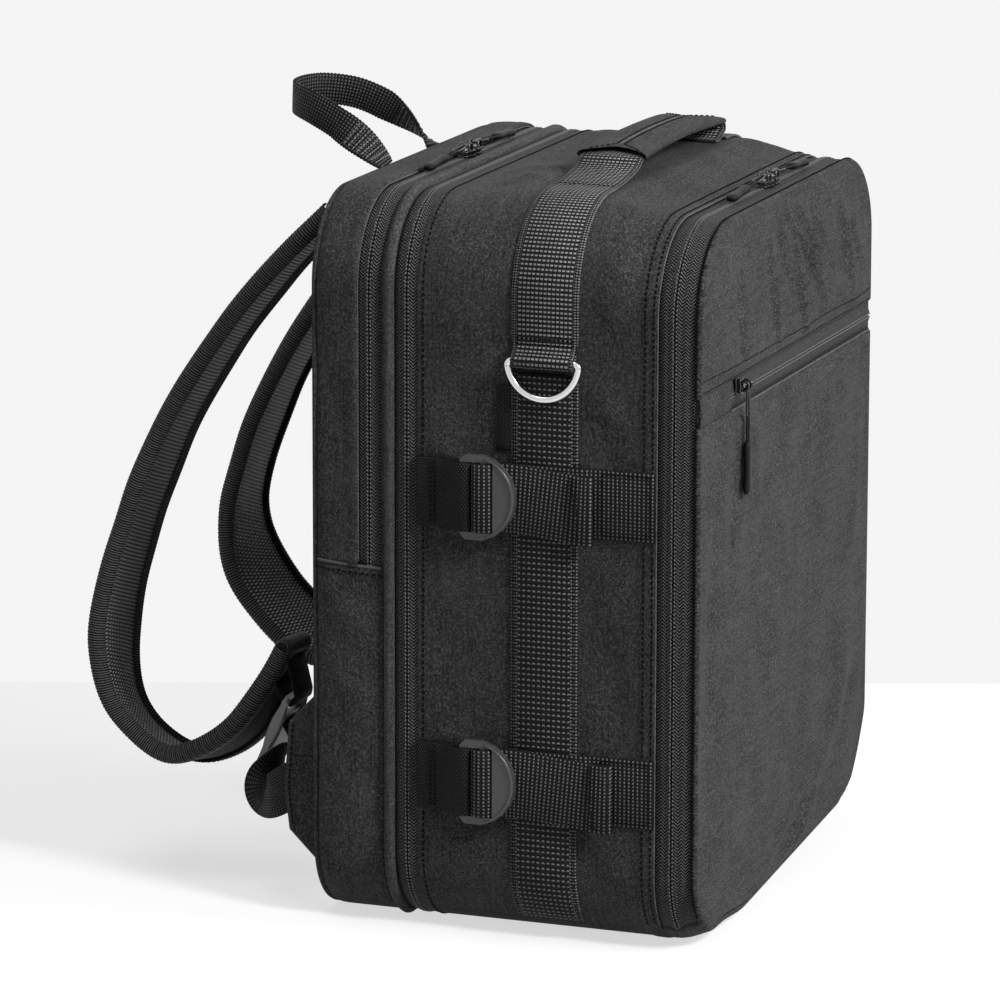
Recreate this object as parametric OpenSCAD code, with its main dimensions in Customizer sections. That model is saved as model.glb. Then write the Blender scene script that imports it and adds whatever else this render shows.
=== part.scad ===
// Cabin travel backpack: a boxy bag whose front panel unzips, with a zip-in extra
// depth, a laptop section, side compression straps and padded shoulder straps.
// Millimetres. +Z is up, the front panel faces -Y, the shoulder straps are at +Y.
// The origin is the middle of the base.

/* [Body] */
// Width of the bag
body_w = 306; // [280:1:340]
// Height of the bag, without handle
body_h = 407; // [383:1:440]
// How much lower the top is at the front zip
front_drop = 7; // [0:0.5:14]
// Depth of the front panel and its half of the front zip
flap_d = 15; // [13:0.5:20]
// Depth of the main section, from the front zip to the expansion zip
main_d = 153; // [145:1:200]
// Depth of the laptop section, from the expansion zip to the back panel
rear_d = 56; // [50:1:80]
// Radius of the two upper corners
top_corner_r = 50; // [40:1:60]
// Radius of the two lower corners
bottom_corner_r = 44; // [34:1:50]
// Thickness of the side walls: cloth, foam and lining
wall = 3; // [2.5:0.1:5]
// Thickness of the front and back panels
panel_t = 3; // [2:0.1:5]

/* [Zips] */
// Full width of the front zip's tape
main_zip_w = 22; // [18:0.5:26]
// Full width of the expansion zip's tape
expansion_zip_w = 16; // [14:0.5:20]
// Full width of the laptop zip's tape
laptop_zip_w = 14; // [12:0.5:18]
// Height at which the laptop zip ends on the sides
laptop_zip_end_z = 204; // [160:1:270]
// Height of the front pocket's zip
pocket_zip_z = 306.5; // [250:0.5:331]
// Full width of the front pocket's zip
pocket_zip_w = 17; // [14:0.5:22]
// Thickness of a zip tape
tape_t = 1.6; // [1:0.1:2]
// Length of a pull, from its pivot to the grip's end
pull_l = 60; // [50:1:66]

/* [Webbing] */
// Width of the side and compression webbing
webbing_w = 38; // [30:1:42]
// Thickness of the webbing
webbing_t = 1.6; // [1.2:0.1:2]
// Depth position of the upright webbing's middle
webbing_y = -24; // [-30:1:-18]
// Height of the upper compression strap's middle
upper_strap_z = 249; // [211:1:266]
// Height of the lower compression strap's middle
lower_strap_z = 90; // [78:1:121]
// Free tail of the upper strap, forward of the buckle's fixed bar
upper_tail_l = 72; // [50:1:76]
// Free tail of the lower strap, forward of the buckle's fixed bar
lower_tail_l = 83; // [50:1:86]
// Height of the carrying ring's bar
ring_z = 325; // [311:1:332]
// Inside width of the carrying ring
ring_inner_w = 40; // [38.5:0.5:46]
// Wire diameter of the carrying ring
ring_wire_d = 4; // [3:0.1:4.5]

/* [Handles] */
// Distance between the handle's two sewn ends
handle_span = 186; // [160:1:194]
// Length of the padded sleeve
sleeve_l = 138; // [110:1:146]
// How far the sleeve has slipped along the handle towards the right
sleeve_shift = 20; // [6:1:24]
// Width of the padded sleeve
sleeve_w = 40; // [39:1:50]
// Thickness of the padded sleeve
sleeve_t = 8; // [7:0.5:10]
// Height of the sleeve's ends above the top, to their middle
sleeve_lift = 13.5; // [13:0.5:24]
// Extra height of the sleeve's middle
sleeve_rise = 2; // [0:0.5:20]
// Distance between the haul loop's sewn ends
loop_span = 72; // [66:1:78]
// Reach of the haul loop from the back edge
loop_reach = 67; // [50:1:80]
// Rise of the haul loop from its sewn ends to its far end
loop_rise = 32; // [15:1:45]
// Width of the haul loop's webbing
loop_w = 18; // [15:1:25]

/* [Shoulder straps] */
// Distance of a strap's middle from the bag's middle
strap_x = 82; // [82:1:92]
// Width of a strap's padding, without its edge binding
pad_w = 56; // [46:1:60]
// Thickness of a strap's padding
pad_t = 10; // [8:0.5:12]
// Width of the edge binding on each side
binding_w = 3; // [2:0.5:4]
// Width of the adjusting webbing
adjuster_w = 25; // [20:1:30]

/* [Hidden] */

// Colours of the cloth and fittings
cloth = [0.12, 0.12, 0.125];
lining = [0.3, 0.3, 0.32];
tape = [0.06, 0.06, 0.065];
band = [0.08, 0.085, 0.09];
plastic = [0.2, 0.2, 0.21];
gunmetal = [0.35, 0.35, 0.36];
chrome = [0.85, 0.85, 0.86];
mesh = [0.05, 0.05, 0.055];

// Facets of one round corner, and of small true rounds
corner_steps = 9;
$fn = 48;

// Play between pieces that move against each other, and under a zip slider
play = 0.3;
slider_gap = 0.5;
// Zip tapes lie a little below the cloth's face
tape_inset = 0.6;
// Half the slit between the two tapes of one zip
slit = 0.1;
// Welt between the expansion zip and the laptop zip
piping_d = 6;

// Depth stations, front to back
depth = flap_d + main_d + rear_d;
front_y = -depth / 2;
split_y = front_y + flap_d;
expansion_y = split_y + main_d;
back_y = depth / 2;
shell_front_y = split_y + main_zip_w / 2;
shell_back_y = expansion_y - expansion_zip_w / 2;
piping_y = expansion_y + expansion_zip_w / 2 + piping_d / 2 - 0.5;
gusset_y = piping_y + piping_d / 2;
laptop_zip_y = gusset_y + 1.5 + laptop_zip_w / 2;
panel_back_y = front_y + panel_t;
front_h = body_h - front_drop;
tape_end = tape_inset + tape_t;
// Height at which the front zip's ends meet the sewn strip of the base
strip_z = 12;
// Pivot line of the front panel, low on its rear face
flap_pivot_z = 4;
liner_t = 2;
divider_t = 3.5;
board_t = 2;
pad_raise = 6;

// Points of a circular arc in a plane
function arc_points(cx, cz, r, a0, a1) =
    [for (k = [0:corner_steps]) let (a = a0 + (a1 - a0) * k / corner_steps)
        [cx + r * cos(a), cz + r * sin(a)]];

// The bag's outline seen from the front, drawn in by inset, with its top at height h
function outline(inset, h = body_h) = let (
        x_top = body_w / 2 - top_corner_r,
        x_low = body_w / 2 - bottom_corner_r,
        z_top = h - top_corner_r,
        r_top = top_corner_r - inset,
        r_low = bottom_corner_r - inset
    ) concat(
        arc_points(x_low, bottom_corner_r, r_low, -90, 0),
        arc_points(x_top, z_top, r_top, 0, 90),
        arc_points(-x_top, z_top, r_top, 90, 180),
        arc_points(-x_low, bottom_corner_r, r_low, 180, 270)
    );

// A flat shape drawn in X and Z, given depth from y0 to y1
module along_y(y0, y1) {
    translate([0, y1, 0]) rotate([90, 0, 0]) linear_extrude(y1 - y0) children();
}

module plate(y0, y1, inset, h = body_h) {
    along_y(y0, y1) polygon(outline(inset, h));
}

module ring(y0, y1, outer, inner, h = body_h) {
    along_y(y0, y1) difference() {
        polygon(outline(outer, h));
        polygon(outline(inner, h));
    }
}

// A solid through outlines at several depths, from back to front. A station is
// its depth and the outline's top height.
module loft(stations, inset) {
    m = len(outline(inset));
    n = len(stations);
    points = [for (s = stations) for (p = outline(inset, s[1])) [p[0], s[0], p[1]]];
    sides = [for (i = [0:n - 2]) for (j = [0:m - 1]) let (
            a = i * m + j,
            b = a + m,
            c = (i + 1) * m + (j + 1) % m,
            d = c - m
        ) each [[a, b, c], [a, c, d]]];
    caps = [[for (j = [0:m - 1]) j], [for (j = [m - 1:-1:0]) (n - 1) * m + j]];
    polyhedron(points, concat(sides, caps), convexity = 4);
}

// Everything between two heights, wider than the bag
module between(z0, z1) {
    reach = body_w + depth + body_h;
    intersection() {
        children();
        translate([-reach / 2, -reach / 2, z0]) cube([reach, reach, z1 - z0]);
    }
}

// Everything above a height
module above(z) {
    between(z, 2 * body_h) children();
}

// A piece and its mirror image on the other side
module both_sides() {
    children();
    mirror([1, 0, 0]) children();
}

// A smooth curve through a list of points
function spline(p, k, s) = let (
        a = p[max(k - 1, 0)],
        b = p[k],
        c = p[k + 1],
        d = p[min(k + 2, len(p) - 1)]
    ) 0.5 * (2 * b + (c - a) * s + (2 * a - 5 * b + 4 * c - d) * s * s + (3 * b - a - 3 * c + d) * s * s * s);

function smooth(p, n) =
    concat([for (k = [0:len(p) - 2]) for (j = [0:n - 1]) spline(p, k, j / n)], [p[len(p) - 1]]);

// Direction of travel at point i of a path
function heading(p, i, closed) = let (
        n = len(p),
        a = p[closed ? (i + n - 1) % n : max(i - 1, 0)],
        b = p[closed ? (i + 1) % n : min(i + 1, n - 1)]
    ) (b - a) / norm(b - a);

function unit(v) = v / norm(v);

// A section carried along a path. The section's first axis follows the list
// across, and its second axis is square to that and to the path.
module sweep(path, across, section, closed = false) {
    n = len(path);
    m = len(section);
    points = [for (i = [0:n - 1]) let (
            t = heading(path, i, closed),
            w = unit(across[i] - t * (t * across[i])),
            h = cross(t, w)
        ) for (s = section) path[i] + w * s[0] + h * s[1]];
    last = closed ? n - 1 : n - 2;
    sides = [for (i = [0:last]) for (j = [0:m - 1]) let (
            a = i * m + j,
            b = ((i + 1) % n) * m + j,
            c = ((i + 1) % n) * m + (j + 1) % m,
            d = i * m + (j + 1) % m
        ) each [[a, b, c], [a, c, d]]];
    caps = closed ? [] : [[for (j = [0:m - 1]) j], [for (j = [m - 1:-1:0]) (n - 1) * m + j]];
    polyhedron(points, concat(sides, caps), convexity = 6);
}

// A flat strip's section
function flat(w, t) = [[-w / 2, -t / 2], [w / 2, -t / 2], [w / 2, t / 2], [-w / 2, t / 2]];

// Main section

// The top slopes down to the front zip, forward of the upright webbing
slope_y = webbing_y - webbing_w / 2 - 6;

module main_shell() {
    cut = 1;
    color(cloth) difference() {
        loft([[shell_back_y, body_h], [slope_y, body_h], [shell_front_y, front_h]], 0);
        loft([
            [shell_back_y + cut, body_h], [slope_y, body_h],
            [shell_front_y, front_h], [shell_front_y - cut, front_h]
        ], wall);
    }
}

module base_board() {
    margin = 4;
    x = body_w / 2 - bottom_corner_r - margin;
    color(lining) translate([-x, shell_front_y + margin, wall])
        cube([2 * x, shell_back_y - shell_front_y - 2 * margin, board_t]);
}

module front_hinge_strip() {
    color(cloth) between(-1, strip_z) ring(panel_back_y + play, shell_front_y, 0, wall);
}

module main_zip_body_tape() {
    color(tape) above(strip_z) ring(split_y + slit, shell_front_y, tape_inset, tape_end, front_h);
}

module expansion_zip_front_tape() {
    color(tape) ring(shell_back_y, expansion_y - slit, tape_inset, tape_end);
}

// Upright webbing on each side, and the carrying rings

webbing_front_y = webbing_y - webbing_w / 2;
webbing_back_y = webbing_y + webbing_w / 2;
ring_r = ring_wire_d / 2;
ring_loop_inner = ring_r + play;
ring_loop_outer = ring_loop_inner + webbing_t;
ring_x = -body_w / 2 - ring_loop_outer - play;
side_webbing_low_z = 12;
side_webbing_high_z = ring_z - ring_loop_outer - 3;
ring_neck_z = ring_z + ring_loop_outer + 2;
handle_end_x = handle_span / 2;

module webbing_layer() {
    ring(webbing_front_y, webbing_back_y, -webbing_t, 0);
}

module side_webbing() {
    color(band) both_sides() intersection() {
        between(side_webbing_low_z, side_webbing_high_z) webbing_layer();
        translate([-body_w, -depth, 0]) cube([body_w, 2 * depth, body_h]);
    }
}

module ring_webbing() {
    color(band) both_sides() {
        intersection() {
            above(ring_z) webbing_layer();
            translate([-body_w - handle_end_x, -depth, 0]) cube([body_w, 2 * depth, 2 * body_h]);
            translate([-2 * body_w, -depth, ring_neck_z - 1]) cube([4 * body_w, 2 * depth, body_h]);
        }
        along_y(webbing_front_y, webbing_back_y) difference() {
            union() {
                translate([ring_x, ring_z]) circle(ring_loop_outer);
                polygon([
                    [ring_x, ring_z + ring_loop_outer - 0.1], [ring_x + ring_loop_outer - 0.1, ring_z],
                    [-body_w / 2, ring_z + 1], [-body_w / 2, ring_neck_z],
                    [-body_w / 2 - webbing_t, ring_neck_z]
                ]);
            }
            translate([ring_x, ring_z]) circle(ring_loop_inner);
        }
    }
}

// The ring's bow is a half circle, and its bar is a hair thicker than the bow
module d_ring() {
    bow_r = (ring_inner_w + ring_wire_d) / 2;
    bar_r = ring_r + 0.05;
    color(chrome) translate([ring_x, webbing_y, ring_z]) {
        rotate([90, 0, 0]) cylinder(h = 2 * bow_r + ring_wire_d, r = bar_r, center = true);
        rotate([90, 0, -90]) rotate([0, 0, 180])
            rotate_extrude(angle = 180) translate([bow_r, 0]) circle(ring_r);
    }
}

module left_d_ring() {
    d_ring();
}

module right_d_ring() {
    mirror([1, 0, 0]) d_ring();
}

// A bare cloth tab at the rear edge of the left webbing
module label_tab() {
    tab_h = 36;
    tab_w = 9;
    label_t = 0.9;
    drop = 51;
    color(band) translate([-body_w / 2 - label_t, webbing_back_y, ring_z - drop])
        cube([label_t, tab_w, tab_h]);
}

// Compression straps. Their sections are drawn with u forward from the buckle's
// fixed bar and w outward from the bag's side.

bar_y = 20;
bar_w = 7.4;
bar_pitch = 12;
lock_t = 3.6;
lock_bar = 3.8;
eye_inner = norm([lock_bar, lock_t]) / 2 + 0.2;
eye_outer = eye_inner + webbing_t;
strap_root_u = bar_y - shell_front_y;
anchor_root_u = bar_y - shell_back_y;
under_w = webbing_t + 0.2;
step_u = bar_y - webbing_front_y + 4;
tail_w = under_w + webbing_t + 0.2;

module place_side(z) {
    translate([-body_w / 2, bar_y, z]) children();
}

module extrude_side(z) {
    place_side(z) rotate([180, 0, -90]) linear_extrude(webbing_w, center = true) children();
}

module strap_section(tail_u) {
    difference() {
        union() {
            translate([bar_pitch, bar_w]) circle(eye_outer);
            polygon([
                [bar_pitch - 1, under_w], [step_u, under_w], [step_u + 4, 0], [strap_root_u, 0],
                [strap_root_u, webbing_t], [step_u + 4.6, webbing_t], [step_u + 0.6, under_w + webbing_t],
                [bar_pitch - 1, under_w + webbing_t]
            ]);
            translate([bar_pitch + 2, tail_w]) square([tail_u - bar_pitch - 2, webbing_t]);
        }
        translate([bar_pitch, bar_w]) circle(eye_inner);
    }
}

module anchor_section() {
    difference() {
        union() {
            translate([0, bar_w]) circle(eye_outer);
            polygon([
                [anchor_root_u, 0], [anchor_root_u, 2 * webbing_t], [-3.2, bar_w + 3.1], [0, bar_w - 3],
                [-eye_outer - 5, 0]
            ]);
        }
        translate([0, bar_w]) circle(eye_inner);
    }
}

// Ladder-lock buckle lying in its own plane: u along the webbing, v along the
// bars, the fixed bar at u = 0, and a rounded tab of the given reach in front
module ladder_lock(web_w, reach) {
    slot = web_w / 2 + 0.3;
    half = slot + 4.2;
    nose_r = half + 0.5;
    nose_u = reach - nose_r;
    a = asin(half / nose_r);
    linear_extrude(lock_t, center = true) difference() {
        polygon(concat(
            [[-lock_bar / 2, half - 3], [-lock_bar / 2, 3 - half], [3 - lock_bar / 2, -half]],
            arc_points(nose_u, 0, nose_r, -a, a),
            [[3 - lock_bar / 2, half]]
        ));
        translate([lock_bar / 2, -slot]) square([bar_pitch - lock_bar, 2 * slot]);
        translate([bar_pitch + lock_bar / 2, -slot]) square([eye_outer - lock_bar / 2 + 0.6, 2 * slot]);
    }
}

side_lock_reach = 30;

module side_buckle(z) {
    color(plastic) place_side(z) translate([-bar_w, 0, 0]) rotate([90, 0, -90])
        ladder_lock(webbing_w, side_lock_reach);
}

module side_strap(z, tail_u) {
    color(band) extrude_side(z) strap_section(tail_u);
}

module strap_anchors() {
    color(band) both_sides() for (z = [upper_strap_z, lower_strap_z]) extrude_side(z) anchor_section();
}

module left_upper_strap() {
    side_strap(upper_strap_z, upper_tail_l);
}

module left_lower_strap() {
    side_strap(lower_strap_z, lower_tail_l);
}

module right_upper_strap() {
    mirror([1, 0, 0]) side_strap(upper_strap_z, upper_tail_l);
}

module right_lower_strap() {
    mirror([1, 0, 0]) side_strap(lower_strap_z, lower_tail_l);
}

module left_upper_buckle() {
    side_buckle(upper_strap_z);
}

module left_lower_buckle() {
    side_buckle(lower_strap_z);
}

module right_upper_buckle() {
    mirror([1, 0, 0]) side_buckle(upper_strap_z);
}

module right_lower_buckle() {
    mirror([1, 0, 0]) side_buckle(lower_strap_z);
}

// Carrying handle on the top, in line with the upright webbing

function sleeve_z(x) = body_h + sleeve_lift + sleeve_rise * (1 - pow(2 * (x - sleeve_shift) / sleeve_l, 2));

// The left end climbs slowly to the sleeve, and the right end folds back under it
module handle_webbing() {
    foot = 9;
    ramp = 11;
    fold = 14;
    bulge = 3;
    left_x = sleeve_shift - sleeve_l / 2 - 4 * play;
    right_x = sleeve_shift + sleeve_l / 2 + 4 * play;
    foot_z = body_h + webbing_t / 2 + play;
    end_z = body_h + sleeve_lift;
    left_route = [
        [-handle_end_x + play, webbing_y, foot_z], [-handle_end_x + foot, webbing_y, foot_z + 0.6],
        [left_x - ramp, webbing_y, foot_z + (end_z - foot_z) / 3],
        [left_x - bulge, webbing_y, end_z - bulge], [left_x, webbing_y, end_z]
    ];
    right_route = [
        [right_x - fold, webbing_y, foot_z], [right_x - fold / 2, webbing_y, foot_z + 0.3],
        [right_x, webbing_y, foot_z + bulge], [right_x + bulge, webbing_y, (foot_z + end_z) / 2 + 1],
        [right_x + 0.8 * bulge, webbing_y, end_z - 0.8 * bulge], [right_x, webbing_y, end_z]
    ];
    color(band) for (route = [left_route, right_route]) let (path = smooth(route, 4))
        sweep(path, [for (p = path) [0, 1, 0]], flat(webbing_w, webbing_t));
}

module handle_sleeve() {
    steps = 16;
    path = [for (k = [0:steps]) let (x = sleeve_shift + sleeve_l * (k / steps - 0.5))
        [x, webbing_y, sleeve_z(x)]];
    w = sleeve_w / 2;
    t = sleeve_t / 2;
    bevel = t * 0.6;
    section = [
        [-w, bevel - t], [bevel - w, -t], [w - bevel, -t], [w, bevel - t],
        [w, t - bevel], [w - bevel, t], [bevel - w, t], [-w, t - bevel]
    ];
    color(cloth) sweep(path, [for (p = path) [0, 1, 0]], section);
}

// Front panel

pocket_low_z = pocket_zip_z - pocket_zip_w / 2;
pocket_high_z = pocket_zip_z + pocket_zip_w / 2;

module front_top_panel() {
    color(cloth) above(pocket_high_z) plate(front_y, panel_back_y, 0, front_h);
}

module front_pocket_panel() {
    color(cloth) between(flap_pivot_z + play, pocket_low_z) plate(front_y, panel_back_y, 0);
}

module front_liner() {
    color(lining) above(strip_z) plate(panel_back_y, panel_back_y + liner_t, wall + play, front_h);
}

module pocket_zip_tapes() {
    color(tape) {
        between(pocket_low_z, pocket_zip_z - slit) plate(panel_back_y - tape_t, panel_back_y, tape_inset);
        between(pocket_zip_z + slit, pocket_high_z) plate(panel_back_y - tape_t, panel_back_y, tape_inset);
    }
}

module main_zip_flap_tape() {
    color(tape) above(strip_z + play) ring(panel_back_y, split_y - slit, tape_inset, tape_end, front_h);
}

// Zip sliders and their pulls. Both are drawn on a tape that lies flat, with the
// pull pointing along -X and lying almost flat.

slider_l = 11;
slider_w = 9;
slider_h = 4;
bail_r = 0.9;
bail_h = 2.6;
eye_r = bail_r + 0.25;
pull_eye_r = eye_r + 1;
pull_w = 3.2;
grip_l = 27;
grip_w = 8;
grip_t = 5;

// Wedge-shaped outline of a slider, wide where its two channels enter
function slider_outline() = [
    [-slider_l / 2, -slider_w * 0.36], [-slider_l * 0.1, -slider_w * 0.4], [slider_l * 0.3, -slider_w / 2],
    [slider_l / 2, -slider_w * 0.4], [slider_l * 0.36, 0], [slider_l / 2, slider_w * 0.4],
    [slider_l * 0.3, slider_w / 2], [-slider_l * 0.1, slider_w * 0.4], [-slider_l / 2, slider_w * 0.36]
];

// turn is the angle between the zip's run and the pull
module slider(turn) {
    lug_t = 1.4;
    lug_y = pull_w / 2 + play + lug_t / 2;
    color(gunmetal) translate([0, 0, slider_gap]) {
        rotate([0, 0, turn]) linear_extrude(slider_h) polygon(slider_outline());
        for (side = [-1, 1]) translate([-bail_r - 0.7, side * lug_y - lug_t / 2, slider_h - 0.2])
            cube([2 * bail_r + 1.4, lug_t, bail_h + bail_r + 0.9]);
        translate([0, 0, slider_h + bail_h]) rotate([90, 0, 0])
            cylinder(h = 2 * lug_y, r = bail_r, center = true);
    }
}

slider_bail_z = slider_gap + slider_h + bail_h;

// The waisted outline of a moulded grip
function grip_outline(l, w) = [
    [0, -w * 0.34], [l * 0.18, -w / 2], [l * 0.55, -w * 0.37], [l * 0.85, -w / 2], [l, -w * 0.36],
    [l, w * 0.36], [l * 0.85, w / 2], [l * 0.55, w * 0.37], [l * 0.18, w / 2], [0, w * 0.34]
];

module pull(droop) {
    tab_l = 17;
    cord_l = pull_l - tab_l - grip_l;
    translate([0, 0, slider_bail_z]) rotate([0, -droop, 0]) {
        color(gunmetal) difference() {
            union() {
                rotate([90, 0, 0]) cylinder(h = pull_w, r = pull_eye_r, center = true);
                translate([-tab_l, -pull_w / 2, -0.8]) cube([tab_l, pull_w, 1.6]);
            }
            rotate([90, 0, 0]) cylinder(h = pull_w + 1, r = eye_r, center = true);
        }
        color(band) translate([-tab_l - cord_l - 1, -1.1, -1.1]) cube([cord_l + 2, 2.2, 2.2]);
        color(mesh) translate([-tab_l - cord_l, 0, -grip_t / 2]) rotate([0, 0, 180])
            linear_extrude(grip_t) polygon(grip_outline(grip_l, grip_w));
    }
}

// Droop at which the grip's end comes to lie on the cloth
pull_droop = asin((slider_bail_z - grip_t / 2 - 1) / pull_l);
front_tape_z = front_h - tape_inset;
rear_tape_z = body_h - tape_inset;
main_slider_x = 5;
laptop_slider_x = 2;
slider_pitch = slider_l + 3;
pocket_slider_x = -90;

module on_top(x, y, z, turned) {
    translate([x, y, z]) rotate([0, 0, turned ? 180 : 0]) children();
}

module on_front() {
    translate([pocket_slider_x, panel_back_y - tape_t, pocket_zip_z]) rotate([0, -90, 90]) children();
}

module pocket_slider() {
    on_front() slider(90);
}

module pocket_pull() {
    on_front() pull(0);
}

module main_left_slider() {
    on_top(main_slider_x - slider_pitch / 2, split_y, front_tape_z, false) slider(0);
}

module main_left_pull() {
    on_top(main_slider_x - slider_pitch / 2, split_y, front_tape_z, false) pull(pull_droop);
}

module main_right_slider() {
    on_top(main_slider_x + slider_pitch / 2, split_y, front_tape_z, true) slider(0);
}

module main_right_pull() {
    on_top(main_slider_x + slider_pitch / 2, split_y, front_tape_z, true) pull(pull_droop);
}

module laptop_left_slider() {
    on_top(laptop_slider_x - slider_pitch / 2, laptop_zip_y, rear_tape_z, false) slider(0);
}

module laptop_left_pull() {
    on_top(laptop_slider_x - slider_pitch / 2, laptop_zip_y, rear_tape_z, false) pull(pull_droop);
}

module laptop_right_slider() {
    on_top(laptop_slider_x + slider_pitch / 2, laptop_zip_y, rear_tape_z, true) slider(0);
}

module laptop_right_pull() {
    on_top(laptop_slider_x + slider_pitch / 2, laptop_zip_y, rear_tape_z, true) pull(pull_droop);
}

// Laptop section

divider_y = expansion_y + 1.5;

// The extra depth lies folded just inside the expansion zip
module expansion_gusset() {
    color(lining) ring(shell_back_y + play, divider_y - play, tape_end + play, tape_end + play + 1);
}

module expansion_zip_rear_tape() {
    color(tape) ring(expansion_y + slit, piping_y - piping_d / 2, tape_inset, tape_end);
}

// The welt's path stays a radius above the floor
module piping() {
    r = piping_d / 2;
    facets = 8;
    sink = 0.5;
    path = [for (p = outline(sink)) [p[0], piping_y, max(p[1], r + 0.2)]];
    section = [for (k = [0:facets - 1]) let (a = 360 * (k + 0.5) / facets) [r * cos(a), r * sin(a)]];
    color(cloth) sweep(path, [for (p = path) [0, 1, 0]], section, closed = true);
}

module laptop_zip_band(y0, y1, outer, inner) {
    above(laptop_zip_end_z) ring(y0, y1, outer, inner);
}

module rear_gusset() {
    color(cloth) difference() {
        ring(gusset_y, back_y - panel_t, 0, wall);
        laptop_zip_band(laptop_zip_y - laptop_zip_w / 2, laptop_zip_y + laptop_zip_w / 2, -1, wall + 1);
    }
}

module laptop_zip_front_tape() {
    color(tape) laptop_zip_band(laptop_zip_y - laptop_zip_w / 2, laptop_zip_y - slit, tape_inset, tape_end);
}

module laptop_zip_rear_tape() {
    color(tape) laptop_zip_band(laptop_zip_y + slit, laptop_zip_y + laptop_zip_w / 2, tape_inset, tape_end);
}

module divider() {
    color(lining) plate(divider_y, divider_y + divider_t, tape_end);
}

module back_panel() {
    color(cloth) plate(back_y - panel_t, back_y, 0);
}

yoke_low_z = body_h - 32;
yoke_high_z = body_h - 8;
yoke_t = 2;

// Two upright foam pads with an air channel between them
module back_pads() {
    pad_gap = 24;
    edge = 26;
    low_z = bottom_corner_r + 8;
    high_z = yoke_low_z - 16;
    r = 14;
    x0 = pad_gap / 2;
    x1 = body_w / 2 - edge;
    shape = concat(
        arc_points(x1 - r, low_z + r, r, -90, 0), arc_points(x1 - r, high_z - r, r, 0, 90),
        arc_points(x0 + r, high_z - r, r, 90, 180), arc_points(x0 + r, low_z + r, r, 180, 270)
    );
    color(mesh) both_sides() along_y(back_y, back_y + pad_raise) polygon(shape);
}

// Padded sleeve on the inside of the back panel, open at the top
module laptop_sleeve() {
    sleeve_depth = 22;
    foam = 3;
    raise = 26;
    height = 250;
    x = body_w / 2 - 28;
    y1 = back_y - panel_t;
    color(lining) translate([0, 0, raise]) difference() {
        translate([-x, y1 - sleeve_depth, 0]) cube([2 * x, sleeve_depth, height]);
        translate([foam - x, y1 - sleeve_depth + foam, foam]) cube([2 * (x - foam), sleeve_depth, height]);
    }
}

// Haul loop on the upper back edge

loop_t = 1.8;
loop_y = back_y + 2 * play + loop_t / 2;
loop_z = body_h - 2;

module haul_loop() {
    half = loop_span / 2;
    shape = [
        [-half, 0], [-half - 1, 0.2], [-half, 0.44], [-0.88 * half, 0.68],
        [-0.6 * half, 0.89], [-0.25 * half, 0.99], [0.25 * half, 0.99], [0.6 * half, 0.89],
        [0.88 * half, 0.68], [half, 0.44], [half + 1, 0.2], [half, 0]
    ];
    route = [for (p = shape) [p[0], loop_y + p[1] * loop_reach, loop_z + loop_rise * (1 - pow(1 - p[1], 2))]];
    path = smooth(route, 3);
    n = len(path) - 1;
    turn_points = 6;
    lean = [for (p = path) let (far = min(1, (p[1] - loop_y) / loop_reach))
        atan(2 * loop_rise / loop_reach * (1 - far))];
    // Flat at the sewn ends, then on edge round the loop, with no break in the twist
    across = [for (i = [0:n]) let (
            twist = 90 * min(1, i / turn_points),
            untwist = 180 - 90 * min(1, (n - i) / turn_points),
            turn = i < n / 2 ? twist : untwist
        ) cos(turn) * [1, 0, 0] + sin(turn) * [0, -sin(lean[i]), cos(lean[i])]];
    color(band) sweep(path, across, flat(loop_w, loop_t));
}

// Shoulder straps. Each route is the strap's middle line in Y and Z.

strap_pivot_y = back_y + yoke_t + play + pad_t / 2;
strap_pivot_z = body_h - 15;
left_route = [
    [0, 0], [18, -19], [45, -48], [77, -90], [108, -143], [133, -209], [143, -257], [137, -297], [113, -321],
    [89, -323], [59, -302], [33, -255]
];
right_route = [
    [0, 0], [18, -19], [45, -48], [77, -90], [108, -143], [127, -193], [132, -223], [125, -251], [105, -277],
    [79, -295], [53, -289], [33, -259]
];
strap_steps = 3;

function strap_path(route, x) =
    [for (p = smooth(route, strap_steps)) [x, strap_pivot_y + p[0], strap_pivot_z + p[1]]];

module strap_pad(route, x) {
    path = strap_path(route, x);
    w = pad_w / 2;
    t = pad_t / 2;
    bevel = t * 0.4;
    section = [
        [-w, bevel - t], [bevel - w, -t], [w - bevel, -t], [w, bevel - t],
        [w, t - bevel], [w - bevel, t], [bevel - w, t], [-w, t - bevel]
    ];
    color(mesh) {
        sweep(path, [for (p = path) [1, 0, 0]], section);
        translate([x, strap_pivot_y, strap_pivot_z]) rotate([0, 90, 0])
            cylinder(h = pad_w - 2, r = t - play, center = true);
    }
}

module strap_binding(route, x) {
    t = pad_t / 2 + 0.8;
    color(band) for (side = [-1, 1]) {
        path = strap_path(route, x + side * (pad_w + binding_w) / 2);
        trimmed = [for (i = [1:len(path) - 1]) path[i]];
        sweep(trimmed, [for (p = trimmed) [1, 0, 0]], flat(binding_w, 2 * t));
    }
}

// Lower end of a strap: a webbing loop holds the ladder-lock, which hangs from it
lock_out = 31;
lock_drop = 284;
lock_y = strap_pivot_y + lock_out;
lock_z = strap_pivot_z - lock_drop;
lock_lean = 24;
strap_lock_reach = 52;

module buckle_loop(x) {
    sewn = [[12, 16], [3, 32]];
    color(band) translate([x - adjuster_w / 2, lock_y, lock_z]) rotate([90, 0, 90])
        linear_extrude(adjuster_w) difference() {
            union() {
                circle(eye_outer);
                polygon([[eye_outer - 0.4, -1], sewn[0], sewn[1], [-eye_outer + 0.4, 1]]);
            }
            circle(eye_inner);
        }
}

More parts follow.
